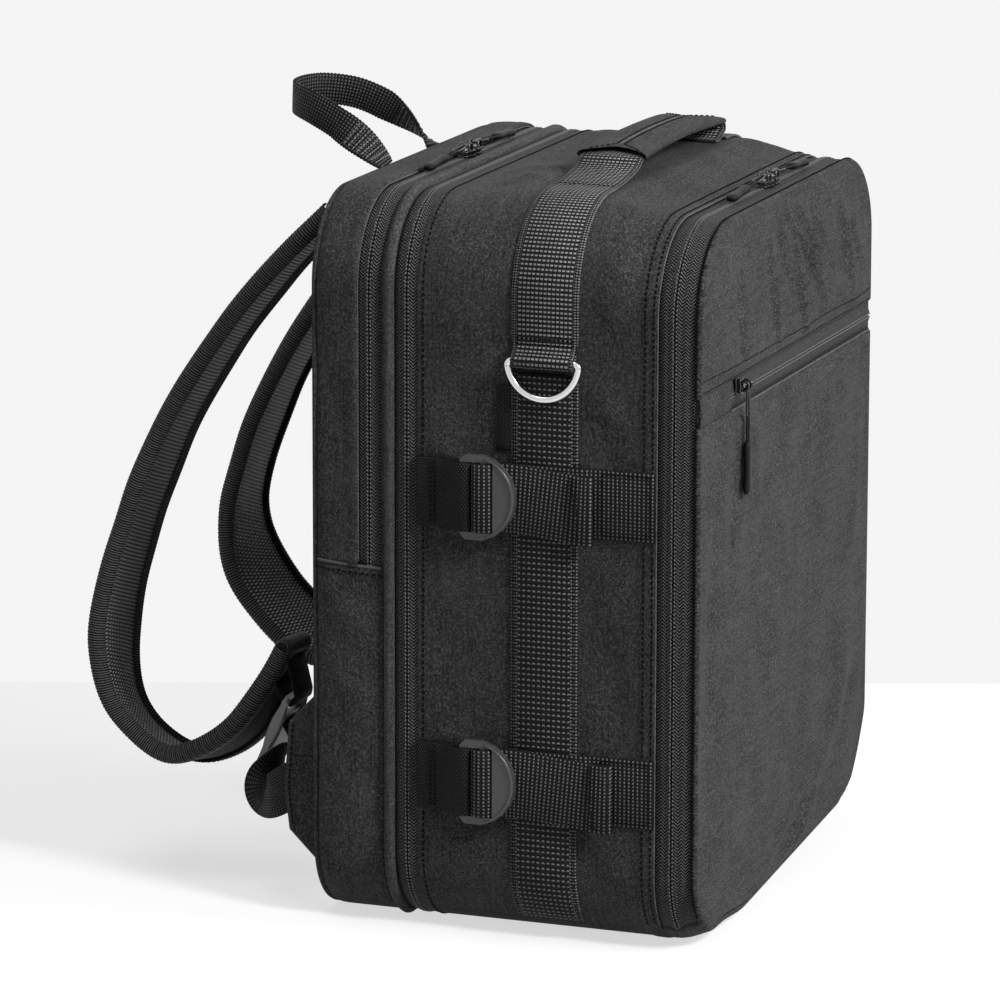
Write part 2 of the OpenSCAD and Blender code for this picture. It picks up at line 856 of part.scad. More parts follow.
module strap_buckle(x) {
    color(plastic) translate([x, lock_y, lock_z]) rotate([lock_lean, 0, 0]) rotate([0, 90, -90])
        ladder_lock(adjuster_w, strap_lock_reach);
}

module strap_yoke() {
    x = strap_x + pad_w / 2 + 6;
    color(cloth) translate([-x, back_y, yoke_low_z]) cube([2 * x, yoke_t, yoke_high_z - yoke_low_z]);
}

// Triangular cloth tabs at the lower back edges, which hold the adjusting webbing
tab_margin = 10;
tab_x = body_w / 2 - tab_margin;
tab_t = 3;
tab_low_z = 29;
tab_h = 99;
tab_reach = 22;
tab_slant = 19;
tab_tip_z = tab_low_z + 42;

module strap_tabs() {
    high_z = tab_low_z + tab_h;
    shape = [
        [0, tab_low_z], [0, high_z], [tab_slant, high_z - tab_slant], [tab_reach, tab_tip_z],
        [tab_slant, tab_low_z + tab_slant - 1]
    ];
    color(cloth) both_sides() translate([-tab_x, back_y, 0]) rotate([90, 0, 90])
        linear_extrude(tab_t) polygon(shape);
}

module adjuster() {
    start_x = -tab_x + tab_t + webbing_t / 2 + 2 * play;
    slot_u = bar_pitch + lock_bar / 2 + (eye_outer - lock_bar / 2 + 0.6) / 2;
    slot = [-strap_x, lock_y + slot_u * sin(lock_lean), lock_z - slot_u * cos(lock_lean)];
    through = [0, cos(lock_lean), sin(lock_lean)];
    route = [
        [start_x, back_y + 10, tab_tip_z + 6], [start_x, back_y + 19, tab_tip_z],
        [start_x + 4, back_y + 32, tab_tip_z - 8], [start_x + 18, back_y + 42, tab_tip_z - 11],
        [-strap_x - 24, back_y + 46, tab_tip_z - 7], [-strap_x - 8, back_y + 43, tab_tip_z + 4],
        slot - through * 8 + [0, 0, -9], slot - through * 4 + [0, 0, -1], slot, slot + through * 5
    ];
    path = smooth(route, 3);
    n = len(path) - 1;
    across = [for (i = [0:n]) let (
            t = heading(path, i, false),
            side = unit(cross(t, [1, 0, 0])),
            a = 90 * max(0, min(1, 1.25 - 2.2 * i / n))
        ) cos(a) * [1, 0, 0] + sin(a) * side];
    color(band) sweep(path, across, flat(adjuster_w, webbing_t));
}

module left_adjuster() {
    adjuster();
}

module right_adjuster() {
    mirror([1, 0, 0]) adjuster();
}

module left_strap_pad() {
    strap_pad(left_route, -strap_x);
}

module left_strap_binding() {
    strap_binding(left_route, -strap_x);
}

module left_buckle_loop() {
    buckle_loop(-strap_x);
}

module left_strap_buckle() {
    strap_buckle(-strap_x);
}

module right_strap_pad() {
    strap_pad(right_route, strap_x);
}

module right_strap_binding() {
    strap_binding(right_route, strap_x);
}

module right_buckle_loop() {
    buckle_loop(strap_x);
}

module right_strap_buckle() {
    strap_buckle(strap_x);
}

main_shell();
base_board();
front_hinge_strip();
main_zip_body_tape();
expansion_zip_front_tape();
side_webbing();
ring_webbing();
label_tab();
strap_anchors();
left_upper_strap();
left_lower_strap();
right_upper_strap();
right_lower_strap();
left_upper_buckle();
left_lower_buckle();
right_upper_buckle();
right_lower_buckle();
left_d_ring();
right_d_ring();
handle_webbing();
handle_sleeve();
front_top_panel();
front_pocket_panel();
front_liner();
pocket_zip_tapes();
main_zip_flap_tape();
pocket_slider();
pocket_pull();
main_left_slider();
main_left_pull();
main_right_slider();
main_right_pull();
expansion_gusset();
expansion_zip_rear_tape();
piping();
rear_gusset();
divider();
back_panel();
back_pads();
laptop_sleeve();
laptop_zip_front_tape();
laptop_zip_rear_tape();
laptop_left_slider();
laptop_left_pull();
laptop_right_slider();
laptop_right_pull();
haul_loop();
strap_yoke();
strap_tabs();
left_adjuster();
right_adjuster();
left_strap_pad();
left_strap_binding();
left_buckle_loop();
left_strap_buckle();
right_strap_pad();
right_strap_binding();
right_buckle_loop();
right_strap_buckle();
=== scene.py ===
import math

import bmesh
import bpy
import numpy as np
from mathutils import Matrix, Vector
from mathutils.bvhtree import BVHTree


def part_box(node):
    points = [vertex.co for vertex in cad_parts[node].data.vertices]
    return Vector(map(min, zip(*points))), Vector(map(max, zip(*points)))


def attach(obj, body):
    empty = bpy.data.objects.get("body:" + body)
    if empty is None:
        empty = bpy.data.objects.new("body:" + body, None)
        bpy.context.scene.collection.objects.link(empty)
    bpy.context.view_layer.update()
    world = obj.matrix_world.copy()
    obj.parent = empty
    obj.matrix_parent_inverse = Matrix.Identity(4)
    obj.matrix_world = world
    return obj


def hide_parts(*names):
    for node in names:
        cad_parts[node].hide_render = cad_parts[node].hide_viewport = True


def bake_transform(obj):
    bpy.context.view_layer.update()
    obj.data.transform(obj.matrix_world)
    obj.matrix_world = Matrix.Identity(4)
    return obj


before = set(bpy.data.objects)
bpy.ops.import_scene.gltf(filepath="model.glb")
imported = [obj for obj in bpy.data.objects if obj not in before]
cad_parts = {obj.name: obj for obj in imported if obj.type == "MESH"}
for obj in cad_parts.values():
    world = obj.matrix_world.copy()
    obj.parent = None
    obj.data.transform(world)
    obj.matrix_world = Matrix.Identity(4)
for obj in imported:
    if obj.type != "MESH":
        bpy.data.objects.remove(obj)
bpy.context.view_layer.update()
scene = bpy.context.scene

# Lengths are in millimetres, apart from those of the camera, the floor and the lamps. Meshes are
# turned into metres when they are built.
MM = 0.001
X, Y, Z = 0, 1, 2
SIDES = {"left": -1, "right": 1}
LEVELS = ("upper", "lower")


def span(node):
    """Lowest and highest corners of a CAD node."""
    low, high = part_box(node)
    return np.array(low) / MM, np.array(high) / MM


def between(node, axis):
    """A CAD node's reach along one axis."""
    low, high = span(node)
    return low[axis], high[axis]


def slit_of(front_tape, rear_tape):
    """Depth of the slit between the two halves of a zip."""
    return (between(front_tape, Y)[1] + between(rear_tape, Y)[0]) / 2


# Stations of the bag, taken from the frame
HALF_W = between("main_shell", X)[1]
HEIGHT = between("main_shell", Z)[1]
SHELL_FRONT, SHELL_BACK = between("main_shell", Y)
FRONT, PANEL_BACK = between("front_pocket_panel", Y)
FRONT_TOP = between("front_top_panel", Z)[1]
PANEL_LOW, POCKET_LOW = between("front_pocket_panel", Z)
POCKET_HIGH = between("front_top_panel", Z)[0]
POCKET_ZIP = (POCKET_LOW + POCKET_HIGH) / 2
SPLIT = slit_of("main_zip_flap_tape", "main_zip_body_tape")
STRIP_TOP = between("front_hinge_strip", Z)[1]
EXPANSION = slit_of("expansion_zip_front_tape", "expansion_zip_rear_tape")
EXPANSION_END = between("expansion_zip_rear_tape", Y)[1]
GUSSET, BACK_INNER = between("rear_gusset", Y)
LAPTOP_ZIP = slit_of("laptop_zip_front_tape", "laptop_zip_rear_tape")
LAPTOP_FRONT = between("laptop_zip_front_tape", Y)[0]
LAPTOP_BACK = between("laptop_zip_rear_tape", Y)[1]
LAPTOP_END = between("laptop_zip_rear_tape", Z)[0]
BACK = between("back_panel", Y)[1]
WEB_FRONT, WEB_BACK = between("side_webbing", Y)
WEB_Y = (WEB_FRONT + WEB_BACK) / 2
WEB_W = WEB_BACK - WEB_FRONT
PIPING_Y = sum(between("piping", Y)) / 2
HANDLE_END = -between("handle_webbing", X)[0]

# Sizes that the frame's boxes don't give: the outline's corners, cloth, zip tape and webbing, a
# zip's slit and teeth, the gap behind a cover, and the spacing of rows across the cloth
R_TOP = 50
R_LOW = 44
WALL = 3
TAPE_INSET = 0.6
TAPE_T = 1.6
WEB_T = 1.6
SLIT = 0.1
TOOTH_OFF, TOOTH_W, TOOTH_H = 0.8, 0.9, 0.8
SKIN_GAP = 0.05
CLOTH_STEP = 3.2
FRONT_DROP = HEIGHT - FRONT_TOP
SLOPE_Y = WEB_FRONT - 6

# How the cloth departs from the plain solids. The top slopes down to the front and has a filled
# crown. The lower edge at the front rises to the right, most of all at its corner, and is rounded
# a little on the left. Each rise has a height, a place where it begins and a length to grow over.
CROWN = 3.2
SLOPE_LOW = 230
CORNER_LIFT, LIFT_LEFT, LIFT_WIDE = 20, -120, 226
CORNER_ROUND, ROUND_LEFT, ROUND_WIDE = 24, 105, 60
LIFT_BACK, LIFT_DEEP, LIFT_HIGH = -20, 62, 120
NOSE_LIFT, NOSE_RIGHT, NOSE_WIDE = 7, -60, 50
NOSE_BACK, NOSE_DEEP, NOSE_HIGH = -92, 24, 60
FLOOR_GAP = 0.2


# Small tools

def ease(t):
    """Smooth step from 0 to 1."""
    t = np.clip(t, 0, 1)
    return t * t * (3 - 2 * t)


def unit(v):
    return v / np.maximum(np.linalg.norm(v, axis=-1, keepdims=True), 1e-9)


def run_of(path):
    """Length along a path at each of its points."""
    return np.concatenate([[0], np.cumsum(np.linalg.norm(np.diff(path, axis=0), axis=1))])


def run_round(loop):
    """Length along a loop at each of its points, and back at its start."""
    return run_of(np.concatenate([loop, loop[:1]]))


def points_of(x, y, z):
    """Points from three coordinates, each an array or one number for all."""
    return np.stack(np.broadcast_arrays(x, y, z), -1).astype(float)


def sample(values, run, spots):
    """Rows of values at chosen places along a run."""
    return np.stack([np.interp(spots, run, values[:, k]) for k in range(values.shape[1])], 1)


def resample(path, step):
    """The same path with even steps. Columns after the first three are carried along."""
    run = run_of(path[:, :3])
    return sample(path, run, np.linspace(0, run[-1], max(2, int(round(run[-1] / step)) + 1)))


def smooth(points, count):
    """A curve through given points."""
    p = np.asarray(points, float)
    out = []
    for k in range(len(p) - 1):
        a, b, c, d = p[max(k - 1, 0)], p[k], p[k + 1], p[min(k + 2, len(p) - 1)]
        for s in np.arange(count) / count:
            out.append(0.5 * (2 * b + (c - a) * s + (2 * a - 5 * b + 4 * c - d) * s ** 2
                              + (3 * b - a - 3 * c + d) * s ** 3))
    return np.array(out + [p[-1]])


def rounded_loop(points, count=6):
    """A closed smooth outline through a few points."""
    p = np.asarray(points, float)
    return smooth(np.concatenate([p[-1:], p, p[:2]]), count)[count:-count]


def heading(path, closed=False):
    """Direction of travel along a path."""
    if closed:
        return unit(np.roll(path, -1, 0) - np.roll(path, 1, 0))
    return unit(np.gradient(path, axis=0))


def arc(centre, radius, start, end, count, flat=1.0):
    """Points of an arc in a plane, angles in degrees. flat squeezes its second direction."""
    a = np.radians(np.linspace(start, end, count))
    return np.stack([centre[0] + radius * np.cos(a), centre[1] + flat * radius * np.sin(a)], 1)


def bulged(angle, power_a, power_b):
    """A full, squarish round section."""
    c, s = np.cos(angle), np.sin(angle)
    return np.sign(c) * np.abs(c) ** power_a, np.sign(s) * np.abs(s) ** power_b


def ripple(a, b, seed, wavelength):
    """Gentle unevenness between about -1 and 1."""
    rng = np.random.default_rng(seed)
    waves = 6
    total = 0
    for _ in range(waves):
        angle, phase = rng.uniform(0, 2 * math.pi, 2)
        k = 2 * math.pi / (wavelength * rng.uniform(0.7, 1.5))
        total = total + np.sin(k * (a * math.cos(angle) + b * math.sin(angle)) + phase)
    return total / (waves * 0.6)


def creases(a, b, lines):
    """Soft ridges, each with a start, an end, a width and a height, fading to both ends."""
    total = 0
    for start, end, width, height in lines:
        start, line = np.array(start, float), np.subtract(end, start)
        t = ((a - start[0]) * line[0] + (b - start[1]) * line[1]) / (line @ line)
        near = np.clip(t, 0, 1)
        off = np.hypot(a - start[0] - near * line[0], b - start[1] - near * line[1])
        total = total + height * np.exp(-(off / width) ** 2) * np.sin(math.pi * np.clip(t, 0.02, 0.98))
    return total


# Meshes

class Piece:
    """Grids and small copies gathered into one mesh, with metric coordinates for the weave."""

    def __init__(self):
        self.points = []
        self.faces = []
        self.coords = []
        self.finishes = []
        self.count = 0

    def add(self, points):
        first = self.count
        self.points.append(np.asarray(points, float).reshape(-1, 3))
        self.count += len(self.points[-1])
        return first

    def grid(self, points, u, v, finish=0, wrap=False, wrap_rows=False):
        """Quads over rows and columns. u and v have one more row or column where wrapped."""
        rows, columns = points.shape[:2]
        index = self.add(points) + np.arange(rows * columns).reshape(rows, columns)
        if wrap:
            index = np.concatenate([index, index[:, :1]], 1)
        if wrap_rows:
            index = np.concatenate([index, index[:1]], 0)
        uv = np.broadcast_to(np.stack(np.broadcast_arrays(u, v), -1), index.shape + (2,))
        now, after = slice(None, -1), slice(1, None)
        corners = [(now, now), (after, now), (after, after), (now, after)]
        quads = np.stack([index[c] for c in corners], -1)
        self.faces += quads.reshape(-1, 4).tolist()
        self.coords.append(np.stack([uv[c] for c in corners], -2).reshape(-1, 2))
        self.finishes += np.broadcast_to(finish, quads.shape[:2]).ravel().tolist()
        return index

    def cap(self, loop, finish=0):
        """One flat face over a closed loop of points that are already in the mesh."""
        self.faces.append([int(i) for i in loop])
        self.coords.append(np.zeros((len(loop), 2)))
        self.finishes.append(finish)

    def ends(self, index, finish=0):
        """Flat faces over the first and last rows of a wrapped grid."""
        self.cap(index[0, :-1], finish)
        self.cap(index[-1, :-1][::-1], finish)

    def rod(self, points, u, v, finish=0):
        """A wrapped grid that is closed at both ends."""
        self.ends(self.grid(points, u, v, finish, wrap=True), finish)

    def closed(self, face, back, u, v, back_finish=0):
        """A worked face and its back, joined all round."""
        columns = face.shape[1]
        u, v = [np.broadcast_to(c, face.shape[:2]) for c in (u, v)]
        u, v = [np.concatenate([c, c[:, ::-1], c[:, :1]], 1) for c in (u, v)]
        finishes = [0] * (columns - 1) + [back_finish] * (columns + 1)
        points = np.concatenate([face, back[:, ::-1]], 1)
        self.ends(self.grid(points, u, v, np.array(finishes), wrap=True), back_finish)

    def scatter(self, template, origin, along, up, finish=0):
        """Copies of a small template at many places, each turned to its own directions."""
        shape, faces = template
        side = unit(np.cross(up, along))
        first = self.add(origin[:, None] + shape[None, :, 0:1] * along[:, None]
                         + shape[None, :, 1:2] * side[:, None] + shape[None, :, 2:3] * up[:, None])
        for k in range(len(origin)):
            base = first + k * len(shape)
            self.faces += [[base + i for i in face] for face in faces]
        corners = sum(len(face) for face in faces)
        self.coords.append(np.zeros((corners * len(origin), 2)))
        self.finishes += [finish] * (len(faces) * len(origin))

    def build(self, name, body, slot, finishes, replaces=()):
        mesh = bpy.data.meshes.new(name)
        mesh.from_pydata((np.concatenate(self.points) * MM).tolist(), [], self.faces)
        layer = mesh.uv_layers.new(name="weave")
        layer.data.foreach_set("uv", (np.concatenate(self.coords) * MM).ravel())
        mesh.polygons.foreach_set("material_index", self.finishes)
        mesh.polygons.foreach_set("use_smooth", [True] * len(self.faces))
        for finish in finishes:
            mesh.materials.append(finish)
        mesh.update()
        turn_outward(mesh)
        thing = bpy.data.objects.new(name, mesh)
        scene.collection.objects.link(thing)
        if body:
            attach(thing, body)
        if replaces:
            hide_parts(*replaces)
        return thing


def turn_outward(mesh):
    """Makes every face look outward."""
    work = bmesh.new()
    work.from_mesh(mesh)
    bmesh.ops.recalc_face_normals(work, faces=work.faces)
    work.to_mesh(mesh)
    work.free()


def rounded_bar(length, width, height, sides=6):
    """Template of a small bar with tapered ends, for stitches and zip teeth."""
    rings = [(-0.5, 0.35), (-0.3, 1), (0.3, 1), (0.5, 0.35)]
    angles = np.arange(sides) * 2 * math.pi / sides
    shape = [(length * t, width / 2 * r * math.cos(a), height / 2 * r * math.sin(a))
             for t, r in rings for a in angles]
    faces = [list(range(sides)), list(range(3 * sides, 4 * sides))[::-1]]
    for k in range(0, 3 * sides, sides):
        for j in range(sides):
            n = (j + 1) % sides
            faces.append([k + j, k + n, k + sides + n, k + sides + j])
    return np.array(shape), faces


def stitches(piece, path, up, pitch=3.3, length=2.3, thick=1.1, finish=0):
    """A row of stitches along a path. up is the cloth's outward direction at each point."""
    path = np.asarray(path, float)
    up = np.broadcast_to(np.asarray(up, float), path.shape)
    run = run_of(path)
    spots = np.arange(pitch / 2, run[-1], pitch)
    out = unit(sample(up, run, spots))
    along = unit(sample(heading(path), run, spots))
    origin = sample(path, run, spots) + out * thick * 0.12
    piece.scatter(rounded_bar(length, thick, thick * 0.8, 5), origin, along, out, finish)


def teeth(piece, line, pitch, length):
    """A zip's row of teeth along a line, whose last three columns are the outward direction."""
    line = resample(line, pitch)
    path, up = line[:, :3], unit(line[:, 3:])
    # The teeth take the piece's second finish, whose grey paints their glints.
    piece.scatter(rounded_bar(length, TOOTH_W, TOOTH_H), path, heading(path), up, 1)


def strip(piece, path, across, width, thick):
    """Webbing: a flat section carried along a path, wide along the direction across."""
    path = np.asarray(path, float)
    across = np.broadcast_to(np.asarray(across, float), path.shape)
    ahead = heading(path)
    wide = unit(across - ahead * np.sum(ahead * across, 1, keepdims=True))
    high = np.cross(ahead, wide)
    width = np.broadcast_to(np.asarray(width, float), (len(path),))
    b = thick * 0.35
    half = [(0.5, 0, 0.2), (0.5, -b, 0.5), (0, 0, 0.54), (-0.5, b, 0.5), (-0.5, 0, 0.2)]
    columns = half + [(k, shift, -level) for k, shift, level in half[::-1]]
    a = np.stack([k * width + shift for k, shift, _ in columns], 1)
    h = np.array([level * thick for _, _, level in columns])
    points = path[:, None] + wide[:, None] * a[..., None] + high[:, None] * h[None, :, None]
    v = np.concatenate([a, a[:, :1]], 1)
    piece.rod(points, run_of(path)[:, None], v)


def tube(piece, path, radius, finish=0, closed=False, sides=12, reference=(0, 0, 1)):
    """A round section carried along a path."""
    path = np.asarray(path, float)
    ahead = heading(path, closed)
    reference = np.broadcast_to(np.asarray(reference, float), path.shape)
    a = unit(reference - ahead * np.sum(ahead * reference, 1, keepdims=True))
    b = np.cross(ahead, a)
    radius = np.broadcast_to(np.asarray(radius, float), (len(path),))
    angle = np.arange(sides) * 2 * math.pi / sides
    ring = a[:, None] * np.cos(angle)[None, :, None] + b[:, None] * np.sin(angle)[None, :, None]
    run = run_round(path) if closed else run_of(path)
    v = np.arange(sides + 1) * 2 * math.pi / sides * radius.mean()
    index = piece.grid(path[:, None] + radius[:, None, None] * ring, run[:, None], v[None, :], finish,
                       wrap=True, wrap_rows=closed)
    if not closed:
        piece.ends(index, finish)


def pebble(piece, shape, low, high, bevel, place):
    """A flat outline given thickness, with rounded upper and lower edges."""
    shape = np.asarray(shape, float)
    middle = shape.mean(0)
    reach = np.abs(shape - middle).max()
    levels = [(low, bevel), (low + bevel * 0.3, bevel * 0.3), (low + bevel, 0), (high - bevel, 0),
              (high - bevel * 0.3, bevel * 0.3), (high, bevel)]
    rows = []
    for z, inset in levels:
        flat = middle + (shape - middle) * (1 - inset / reach)
        rows.append(points_of(flat[:, 0], flat[:, 1], z))
    u = np.concatenate([run_of(shape), [0]])[None, :]
    piece.rod(place(np.array(rows)), u, np.arange(len(levels))[:, None])


# The bag's outline, seen from the front

CORNER_POINTS, ROUND_POINTS = 33, 340


def outline_table():
    """Points, outward directions and run of the outline, from the base's middle towards +X."""
    x_low, x_top, z_top = HALF_W - R_LOW, HALF_W - R_TOP, HEIGHT - R_TOP
    corners = [(x_low, R_LOW, R_LOW, -90), (x_top, z_top, R_TOP, 0),
               (-x_top, z_top, R_TOP, 90), (-x_low, R_LOW, R_LOW, 180)]
    rows = [(0, 0, 0, -1)]
    for cx, cz, r, start in corners:
        for a in np.radians(np.linspace(start, start + 90, CORNER_POINTS)):
            rows.append((cx + r * math.cos(a), cz + r * math.sin(a), math.cos(a), math.sin(a)))
    rows = np.array(rows + [(0, 0, 0, -1)])
    return run_of(rows[:, :2]), rows


RUN, OUTLINE = outline_table()
LENGTH = RUN[-1]
RIGHT_HALF = slice(1, len(RUN) // 2)
ALL_ROUND = np.linspace(0, LENGTH, ROUND_POINTS, endpoint=False)


def at(s):
    """Outline point and outward direction at a run, as x, z, nx, nz."""
    s = np.mod(s, LENGTH)
    return [np.interp(s, RUN, OUTLINE[:, k]) for k in range(4)]


def run_at(z):
    """Run on the right side at a height. The left side's is the same, taken back from zero."""
    return float(np.interp(z, OUTLINE[RIGHT_HALF, 1], RUN[RIGHT_HALF]))


def half_width(z):
    """Half the bag's width at a height."""
    return np.interp(z, OUTLINE[RIGHT_HALF, 1], OUTLINE[RIGHT_HALF, 0])


def runs(start, end, step=4.0):
    return np.linspace(start, end, int(abs(end - start) / step) + 2)


def over_top(z, step=4.0):
    """Runs from a height on the right over the top to the same height on the left."""
    return runs(run_at(z), LENGTH - run_at(z), step)


def under_base(z):
    """Runs from a height on the left under the base to the same height on the right."""
    return runs(-run_at(z), run_at(z))


def settle(points):
    """Lets the cloth slope, swell and sag as a whole, and keeps it above the floor."""
    p = np.array(points, float)
    x, y, z = p[..., 0], p[..., 1], p[..., 2]
    upper = ease((z - SLOPE_LOW) / (HEIGHT - R_TOP - SLOPE_LOW))
    drop = FRONT_DROP * np.clip((SLOPE_Y - y) / (SLOPE_Y - SHELL_FRONT), 0, 1)
    top = ease((z - HEIGHT + R_TOP) / R_TOP)
    swell = np.sin(math.pi * np.clip((y - SHELL_FRONT) / (SHELL_BACK - SHELL_FRONT), 0, 1))
    crown = CROWN * top * swell * (1 - (x / HALF_W) ** 2)
    forward = ease((LIFT_BACK - y) / LIFT_DEEP)
    across = np.clip((x - LIFT_LEFT) / LIFT_WIDE, 0, 1)
    lift = CORNER_LIFT * across + CORNER_ROUND * ease((x - ROUND_LEFT) / ROUND_WIDE)
    nose = NOSE_LIFT * ease((NOSE_RIGHT - x) / NOSE_WIDE) * ease((NOSE_BACK - y) / NOSE_DEEP)
    nose = nose * ease(1 - z / NOSE_HIGH)
    height = z - drop * upper + crown + lift * forward * ease(1 - z / LIFT_HIGH) + nose
    p[..., 2] = np.maximum(height, FLOOR_GAP)
    return p


def band(piece, s, stations, finish=0, closed=False, relief=None):
    """A closed band round the bag. The stations, each a depth and how far it lies inside the
    outline, make a loop that is carried along the runs s."""
    stations = np.array(stations, float)
    x, z, nx, nz = at(s)
    out = np.broadcast_to(-stations[:, 1:], (len(stations), len(s)))
    y = np.broadcast_to(stations[:, :1], out.shape)
    if relief is not None:
        out = out + relief(y, s)
    points = settle(points_of(x + out * nx, y, z + out * nz))
    v = run_round(stations)
    u = np.concatenate([s, [LENGTH]]) if closed else s
    finish = np.asarray(finish).reshape(-1, 1)
    index = piece.grid(points, u[None, :], v[:, None], finish, wrap=closed, wrap_rows=True)
    if not closed:
        piece.ends(index.T, int(finish[0, 0]))


def line_round(s, y, out):
    """A line on the bag's skin at one depth, with its outward directions."""
    x, z, nx, nz = at(s)
    path = settle(points_of(x + out * nx, y, z + out * nz))
    return path, points_of(nx, 0, nz)


def sewn_line(piece, s, y, out, **kind):
    """A row of stitches round the bag."""
    path, up = line_round(s, y, out)
    stitches(piece, path, up, **kind)


def fold_line(piece, s, y, out):
    """A thin folded edge of cloth round the bag, in a piece's second finish, whose lighter cloth is a
    painted highlight along the fold.
    """
    tube(piece, line_round(s, y, out)[0], 0.5, finish=1, sides=6, reference=(0, 1, 0))


# Materials

COOL = 1.03
PULSE_SOFT = 0.08


class Shader:
    """A material put together from nodes, with the weave's coordinates in millimetres."""

    def __init__(self, name, **values):
        self.material = bpy.data.materials.new(name)
        self.material.use_nodes = True
        self.tree = self.material.node_tree
        self.surface = self.tree.nodes["Principled BSDF"]
        for key, value in values.items():
            self.surface.inputs[key.replace("_", " ").title().replace("Ior", "IOR")].default_value = value

    def node(self, kind, *values, **settings):
        node = self.tree.nodes.new(kind)
        for key, value in settings.items():
            setattr(node, key, value)
        for socket, value in zip(node.inputs, values):
            self.put(socket, value)
        return node

    def put(self, socket, value):
        if isinstance(value, bpy.types.NodeSocket):
            self.tree.links.new(value, socket)
        else:
            socket.default_value = value

    def math(self, operation, *values):
        return self.node("ShaderNodeMath", *values, operation=operation).outputs[0]

    def product(self, *values):
        result = values[0]
        for value in values[1:]:
            result = self.math("MULTIPLY", result, value)
        return result

    def total(self, *terms, base=0.0):
        """Sum of values, each given with its weight."""
        for value, weight in terms:
            base = self.math("MULTIPLY_ADD", value, weight, base)
        return base

    def weave(self):
        """Coordinates along and across the cloth, in millimetres."""
        source = self.node("ShaderNodeUVMap", uv_map="weave").outputs[0]
        parts = self.node("ShaderNodeSeparateXYZ", source)
        return [self.math("DIVIDE", parts.outputs[k], MM) for k in (0, 1)]

    def vector(self, x, y):
        return self.node("ShaderNodeCombineXYZ", x, y, 0.0).outputs[0]

    def random(self, x, y, long, wide):
        """One random number for each cell, which is long along x and wide along y."""
        cell = [self.math("FLOOR", self.math("DIVIDE", c, size)) for c, size in ((x, long), (y, wide))]
        return self.node("ShaderNodeTexWhiteNoise", self.vector(*cell)).outputs["Value"]

    def noise(self, scale, detail, place=None):
        node = self.tree.nodes.new("ShaderNodeTexNoise")
        self.put(node.inputs["Vector"], place or self.node("ShaderNodeTexCoord").outputs["Object"])
        node.inputs["Scale"].default_value = scale
        node.inputs["Detail"].default_value = detail
        return node.outputs["Fac"]

    def spread(self, value, low, high, new_low, new_high):
        return self.node("ShaderNodeMapRange", value, low, high, new_low, new_high,
                         interpolation_type="SMOOTHSTEP").outputs[0]

    def pulse(self, value, half):
        """1 in the middle of each whole step of value, 0 further from it than half."""
        off = self.math("ABSOLUTE", self.math("SUBTRACT", self.math("FRACT", value), 0.5))
        return self.spread(off, half - PULSE_SOFT, half + PULSE_SOFT, 1.0, 0.0)

    def wave(self, value, step):
        """0 to 1 and back, once for each step of value."""
        turn = self.math("SINE", self.math("MULTIPLY", value, 2 * math.pi / step))
        return self.math("MULTIPLY_ADD", turn, 0.5, 0.5)

    def shade(self, level, dark, light):
        """Grey between dark and light, a little cool."""
        node = self.node("ShaderNodeMix", data_type="RGBA")
        self.put(node.inputs["Factor"], level)
        ends = [socket for socket in node.inputs if socket.type == "RGBA"]
        for socket, grey in zip(ends, (dark, light)):
            socket.default_value = (grey, grey, grey * COOL, 1)
        colour = [socket for socket in node.outputs if socket.type == "RGBA"][0]
        self.put(self.surface.inputs["Base Color"], colour)

    def rough(self, value):
        self.put(self.surface.inputs["Roughness"], value)

    def relief(self, height, depth):
        """Bump of a depth in millimetres."""
        node = self.tree.nodes.new("ShaderNodeBump")
        node.inputs["Strength"].default_value = 1.0
        node.inputs["Distance"].default_value = depth * MM
        self.put(node.inputs["Height"], height)
        self.put(self.surface.inputs["Normal"], node.outputs[0])


def woven_cloth(name, dark, light, thread=0.65, depth=0.14):
    """Plain-woven cloth of mixed yarns, with a few bright specks."""
    s = Shader(name, specular_ior_level=0.1, sheen_weight=0.02, sheen_roughness=0.5)
    u, v = s.weave()
    turns = [s.math("SINE", s.math("MULTIPLY", c, math.pi / thread)) for c in (u, v)]
    check = s.math("MULTIPLY_ADD", s.product(*turns), 0.5, 0.5)
    weft = s.random(u, v, 30 * thread, thread)
    fleck = s.random(u, v, thread, thread)
    speck = s.math("POWER", fleck, 12.0)
    patch = s.noise(0.03, 3.0, s.vector(u, v))
    mixed = s.total((check, 0.45), (weft, 0.16), (fleck, 0.5), (speck, 0.7), (patch, 0.4), base=-0.36)
    s.shade(mixed, dark, light)
    s.rough(s.math("MULTIPLY_ADD", check, -0.15, 0.84))
    s.relief(s.total((check, 0.8), (fleck, 0.3)), depth)
    return s.material


def zip_tape(name, dark, light):
    """Herringbone tape, whose coordinate across starts at the slit."""
    s = Shader(name, roughness=0.65, specular_ior_level=0.1)
    u, v = s.weave()
    rib = s.math("POWER", s.wave(s.math("ADD", u, s.math("PINGPONG", v, 2.3)), 1.9), 2.5)
    speck = s.random(u, v, 0.6, 0.6)
    s.shade(s.product(rib, s.math("MULTIPLY_ADD", speck, 0.9, 0.5)), dark, light)
    s.relief(s.total((rib, 1.0), (speck, 0.2)), 0.4)
    return s.material


